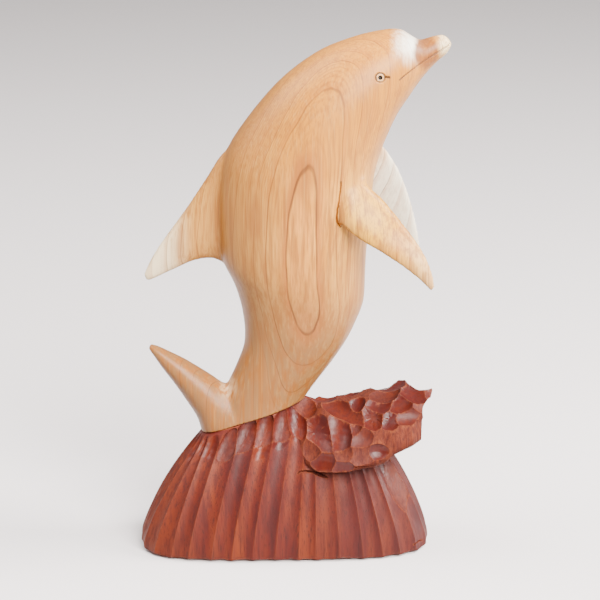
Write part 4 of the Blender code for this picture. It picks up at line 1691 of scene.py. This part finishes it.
@dataclass(frozen=True)
class RedStain:
    """Coarse wood stained red-brown, worn to orange on its ridges and glossy where the gouge cut it."""

    name: str = "red_stain_gloss"
    deep: tuple = (0.046, 0.0058, 0.0050)
    red: tuple = (0.079, 0.0072, 0.0039)
    brown: tuple = (0.108, 0.0122, 0.0042)
    orange: tuple = (0.155, 0.0225, 0.0048)
    bare: tuple = (0.128, 0.0210, 0.0054)
    worn: tuple = (0.25, 0.058, 0.017)
    grain: float = 520.0
    bands: Noise = Noise(120.0, (1.0, 0.7, 0.10), 3.0, 0.6)
    # Painted shade: each flute's right side is darker and its left side lighter, as if lit from the right.
    flute_side_shade: float = -0.07
    tone_shift: float = 0.05
    cut_shift: float = -0.07
    band_stops: tuple = ((0.28, deep), (0.42, red), (0.54, brown), (0.70, orange))
    washes: tuple = (
        # Darker toward the right end: partly stain, partly painted shade.
        Wash(deep, 0.42, Region(x=(-0.015, 0.050))),
        # Lighter and more orange toward the left end: partly stain, partly painted light.
        Wash(orange, 0.95, Region(x=(-0.030, -0.075))),
    )
    bare_share: float = 0.85
    coarse: Noise = Noise(1300.0, (1.0, 0.6, 0.05), 3.0, 0.6)
    coarse_lines: Span = Span(0.44, 0.66, end=0.60)
    dark_streaks: Coat = Coat(deep, 0.42, 0.66, 0.55)
    pores: Noise = Noise(2200.0, (1.0, 1.0, 0.045))
    open_pores: Coat = Coat((0.025, 0.005, 0.0034), 0.56, 0.70, 0.75)
    closed_by_cut: float = 0.55
    rim_band: Coat = Coat((0.117, 0.0113, 0.0063), 0.1, 0.6, 0.6)
    rim_worn: Coat = Coat(worn, 0.86, 0.98, 0.7)
    hollows: Coat = Coat(deep, 0.1, 0.9, 0.55)
    ridges: Coat = Coat(worn, 0.25, 1.0, 0.50)
    ridge_breaks: Span = Span(0.35, 0.6)
    mound_calm: float = 0.7
    sheen: Span = Span(0.3, 0.7, 0.53, 0.66)
    cut_gloss: float = 0.22
    bare_roughness: float = 0.25
    polished_at: tuple = (0.0545, -0.0200, 0.0400)
    polish: Span = Span(16 * MM, 6 * MM, end=0.30)
    ripple_scale: float = 110.0
    ripple_bend: float = 1.5
    ripple_height: float = 0.5
    coarse_height: float = 1.5
    relief: float = 0.5
    specular: float = 0.26

    def build(self) -> Material:
        """Builds the finish.

        Returns:
            The material.
        """
        surface = Surface(self.name)
        board, place = surface.board, surface.place
        streaks, fibres = Grain().on(board, place, self.grain)
        mound, rim = board.mask("mound"), board.mask("rim")
        cut_face = board.math("MAXIMUM", board.mask("cut"), board.mask("stroke"), clamp=True)
        # Painted shade across each flute, darker on its right side.
        shift = board.times(board.mask("across"), self.flute_side_shade)
        shift = board.plus(shift, board.times(board.mask("tone"), self.tone_shift))
        shift = board.plus(shift, board.times(cut_face, self.cut_shift))
        surface.colour = board.ramp(board.plus(board.noise(place, self.bands), shift), self.band_stops)
        for wash in self.washes:
            surface.wash(wash)
        uncut = board.minus(1.0, board.most(cut_face, mound))
        surface.paint(self.bare, board.times(uncut, self.bare_share))
        coarse = board.times(board.between(board.noise(place, self.coarse), self.coarse_lines), uncut)
        surface.paint(self.deep, coarse)
        surface.coat(self.dark_streaks, streaks)
        pores = board.noise(place, self.pores)
        matte = board.minus(1.0, board.times(cut_face, self.closed_by_cut))
        surface.coat(self.open_pores, pores, matte)
        surface.coat(self.rim_band, rim)
        surface.coat(self.rim_worn, rim)
        surface.coat(self.hollows, board.mask("hollow"))
        calm = board.minus(1.0, board.times(mound, self.mound_calm))
        surface.coat(self.ridges, board.mask("ridge"), calm, board.between(fibres, self.ridge_breaks))
        sheen = board.minus(board.between(streaks, self.sheen), board.times(cut_face, self.cut_gloss))
        sheen = board.plus(sheen, board.times(uncut, self.bare_roughness))
        sheen = board.minus(sheen, board.between(board.distance(place, self.polished_at), self.polish))
        inputs = {"Vector": place, "Scale": self.ripple_scale, "Distortion": self.ripple_bend}
        ripples = board.add("TexWave", inputs, bands_direction="Z").outputs["Fac"]
        relief = board.plus(board.times(pores, matte), board.times(ripples, cut_face, self.ripple_height))
        relief = board.minus(relief, board.times(coarse, self.coarse_height))
        return surface.finish(sheen, relief, self.relief, self.specular)


@dataclass
class Studio:
    """A plain pale floor, soft lights and the camera.

    A row of the lamps has a name, a place, a size, a power in watts and a colour.
    """

    target: Vector = field(default_factory=lambda: Vector((0.0075, 0.0, 0.1205)))
    distance: float = 1.15
    elevation: float = 16.0
    azimuth: float = -2.0
    lens: float = 146.14
    floor_size: float = 14.0
    floor_colour: tuple = (0.86, 0.80, 0.80)
    floor_roughness: float = 0.75
    air_colour: tuple = (1.0, 0.985, 0.97)
    air_strength: float = 0.48
    lamps: tuple = (
        ("key", (0.42, -0.90, 0.82), 0.75, 62.0, (1.0, 0.97, 0.93)),
        ("side", (0.99, -0.09, 1.14), 0.45, 36.0, (1.0, 0.98, 0.95)),
        ("top", (-0.75, 0.10, 1.15), 0.9, 21.0, (1.0, 0.98, 0.97)),
        ("window", (1.25, 0.16, 0.24), 0.35, 13.0, (1.0, 0.99, 0.98)),
    )

    def floor(self) -> Piece:
        """The floor that the wave stands on.

        Returns:
            The floor.
        """
        bpy.ops.object.select_all(action="DESELECT")
        bpy.ops.mesh.primitive_plane_add(size=self.floor_size, location=(0, 0, 0))
        floor = bpy.context.object
        floor.name = "floor"
        paint = bpy.data.materials.new("floor_paint")
        paint.use_nodes = True
        shader = paint.node_tree.nodes["Principled BSDF"]
        shader.inputs["Base Color"].default_value = (*self.floor_colour, 1.0)
        shader.inputs["Roughness"].default_value = self.floor_roughness
        floor.data.materials.append(paint)
        floor.visible_diffuse = False
        return floor

    def light(self, name: str, at: tuple, size: float, power: float, colour: tuple) -> None:
        """A square soft light aimed at the carving.

        Args:
            name: its name.
            at: where it is.
            size: its side.
            power: its power in watts.
            colour: its colour.
        """
        lamp = bpy.data.lights.new(name, "AREA")
        lamp.shape = "SQUARE"
        lamp.size = size
        lamp.energy = power
        lamp.color = colour
        holder = bpy.data.objects.new(name, lamp)
        holder.location = at
        holder.rotation_euler = (self.target - Vector(at)).to_track_quat("-Z", "Y").to_euler()
        bpy.context.scene.collection.objects.link(holder)

    def sky(self) -> None:
        """Even light from all round."""
        world = bpy.data.worlds.new("studio_air")
        world.use_nodes = True
        air = world.node_tree.nodes["Background"]
        air.inputs["Color"].default_value = (*self.air_colour, 1.0)
        air.inputs["Strength"].default_value = self.air_strength
        bpy.context.scene.world = world

    def camera(self) -> None:
        """The camera at the photograph's angle."""
        az, el = math.radians(self.azimuth), math.radians(self.elevation)
        back = Vector((math.sin(az) * math.cos(el), -math.cos(az) * math.cos(el), math.sin(el)))
        eye = bpy.data.cameras.new("camera")
        eye.lens = self.lens
        eye.sensor_width = 36.0
        holder = bpy.data.objects.new("camera", eye)
        holder.location = self.target + back * self.distance
        holder.rotation_euler = back.to_track_quat("Z", "Y").to_euler()
        bpy.context.scene.collection.objects.link(holder)
        bpy.context.scene.camera = holder

    def build(self) -> None:
        """Sets the floor, the lights and the camera."""
        self.floor()
        for lamp in self.lamps:
            self.light(*lamp)
        self.sky()
        self.camera()


def dress(piece: Piece, finish: Material, node: str) -> None:
    """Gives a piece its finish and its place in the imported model, and reports it.

    Args:
        piece: the carved piece.
        finish: its material.
        node: the node that it stands for.
    """
    piece.data.materials.clear()
    piece.data.materials.append(finish)
    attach(piece, "root")
    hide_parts(node)
    log.info("%s: %d faces, stands for %s", piece.name, len(piece.data.polygons), node)


def main() -> None:
    """Builds the carving and the studio around it."""
    logging.basicConfig(level=logging.INFO, format="%(message)s")
    Studio().build()
    dolphin = Dolphin()
    dress(dolphin.build(), PaleWood().build(dolphin.eyes), "dolphin")
    wave = Wave().build()
    dress(wave, RedStain().build(), "wave")


if __name__ == "__main__":
    main()
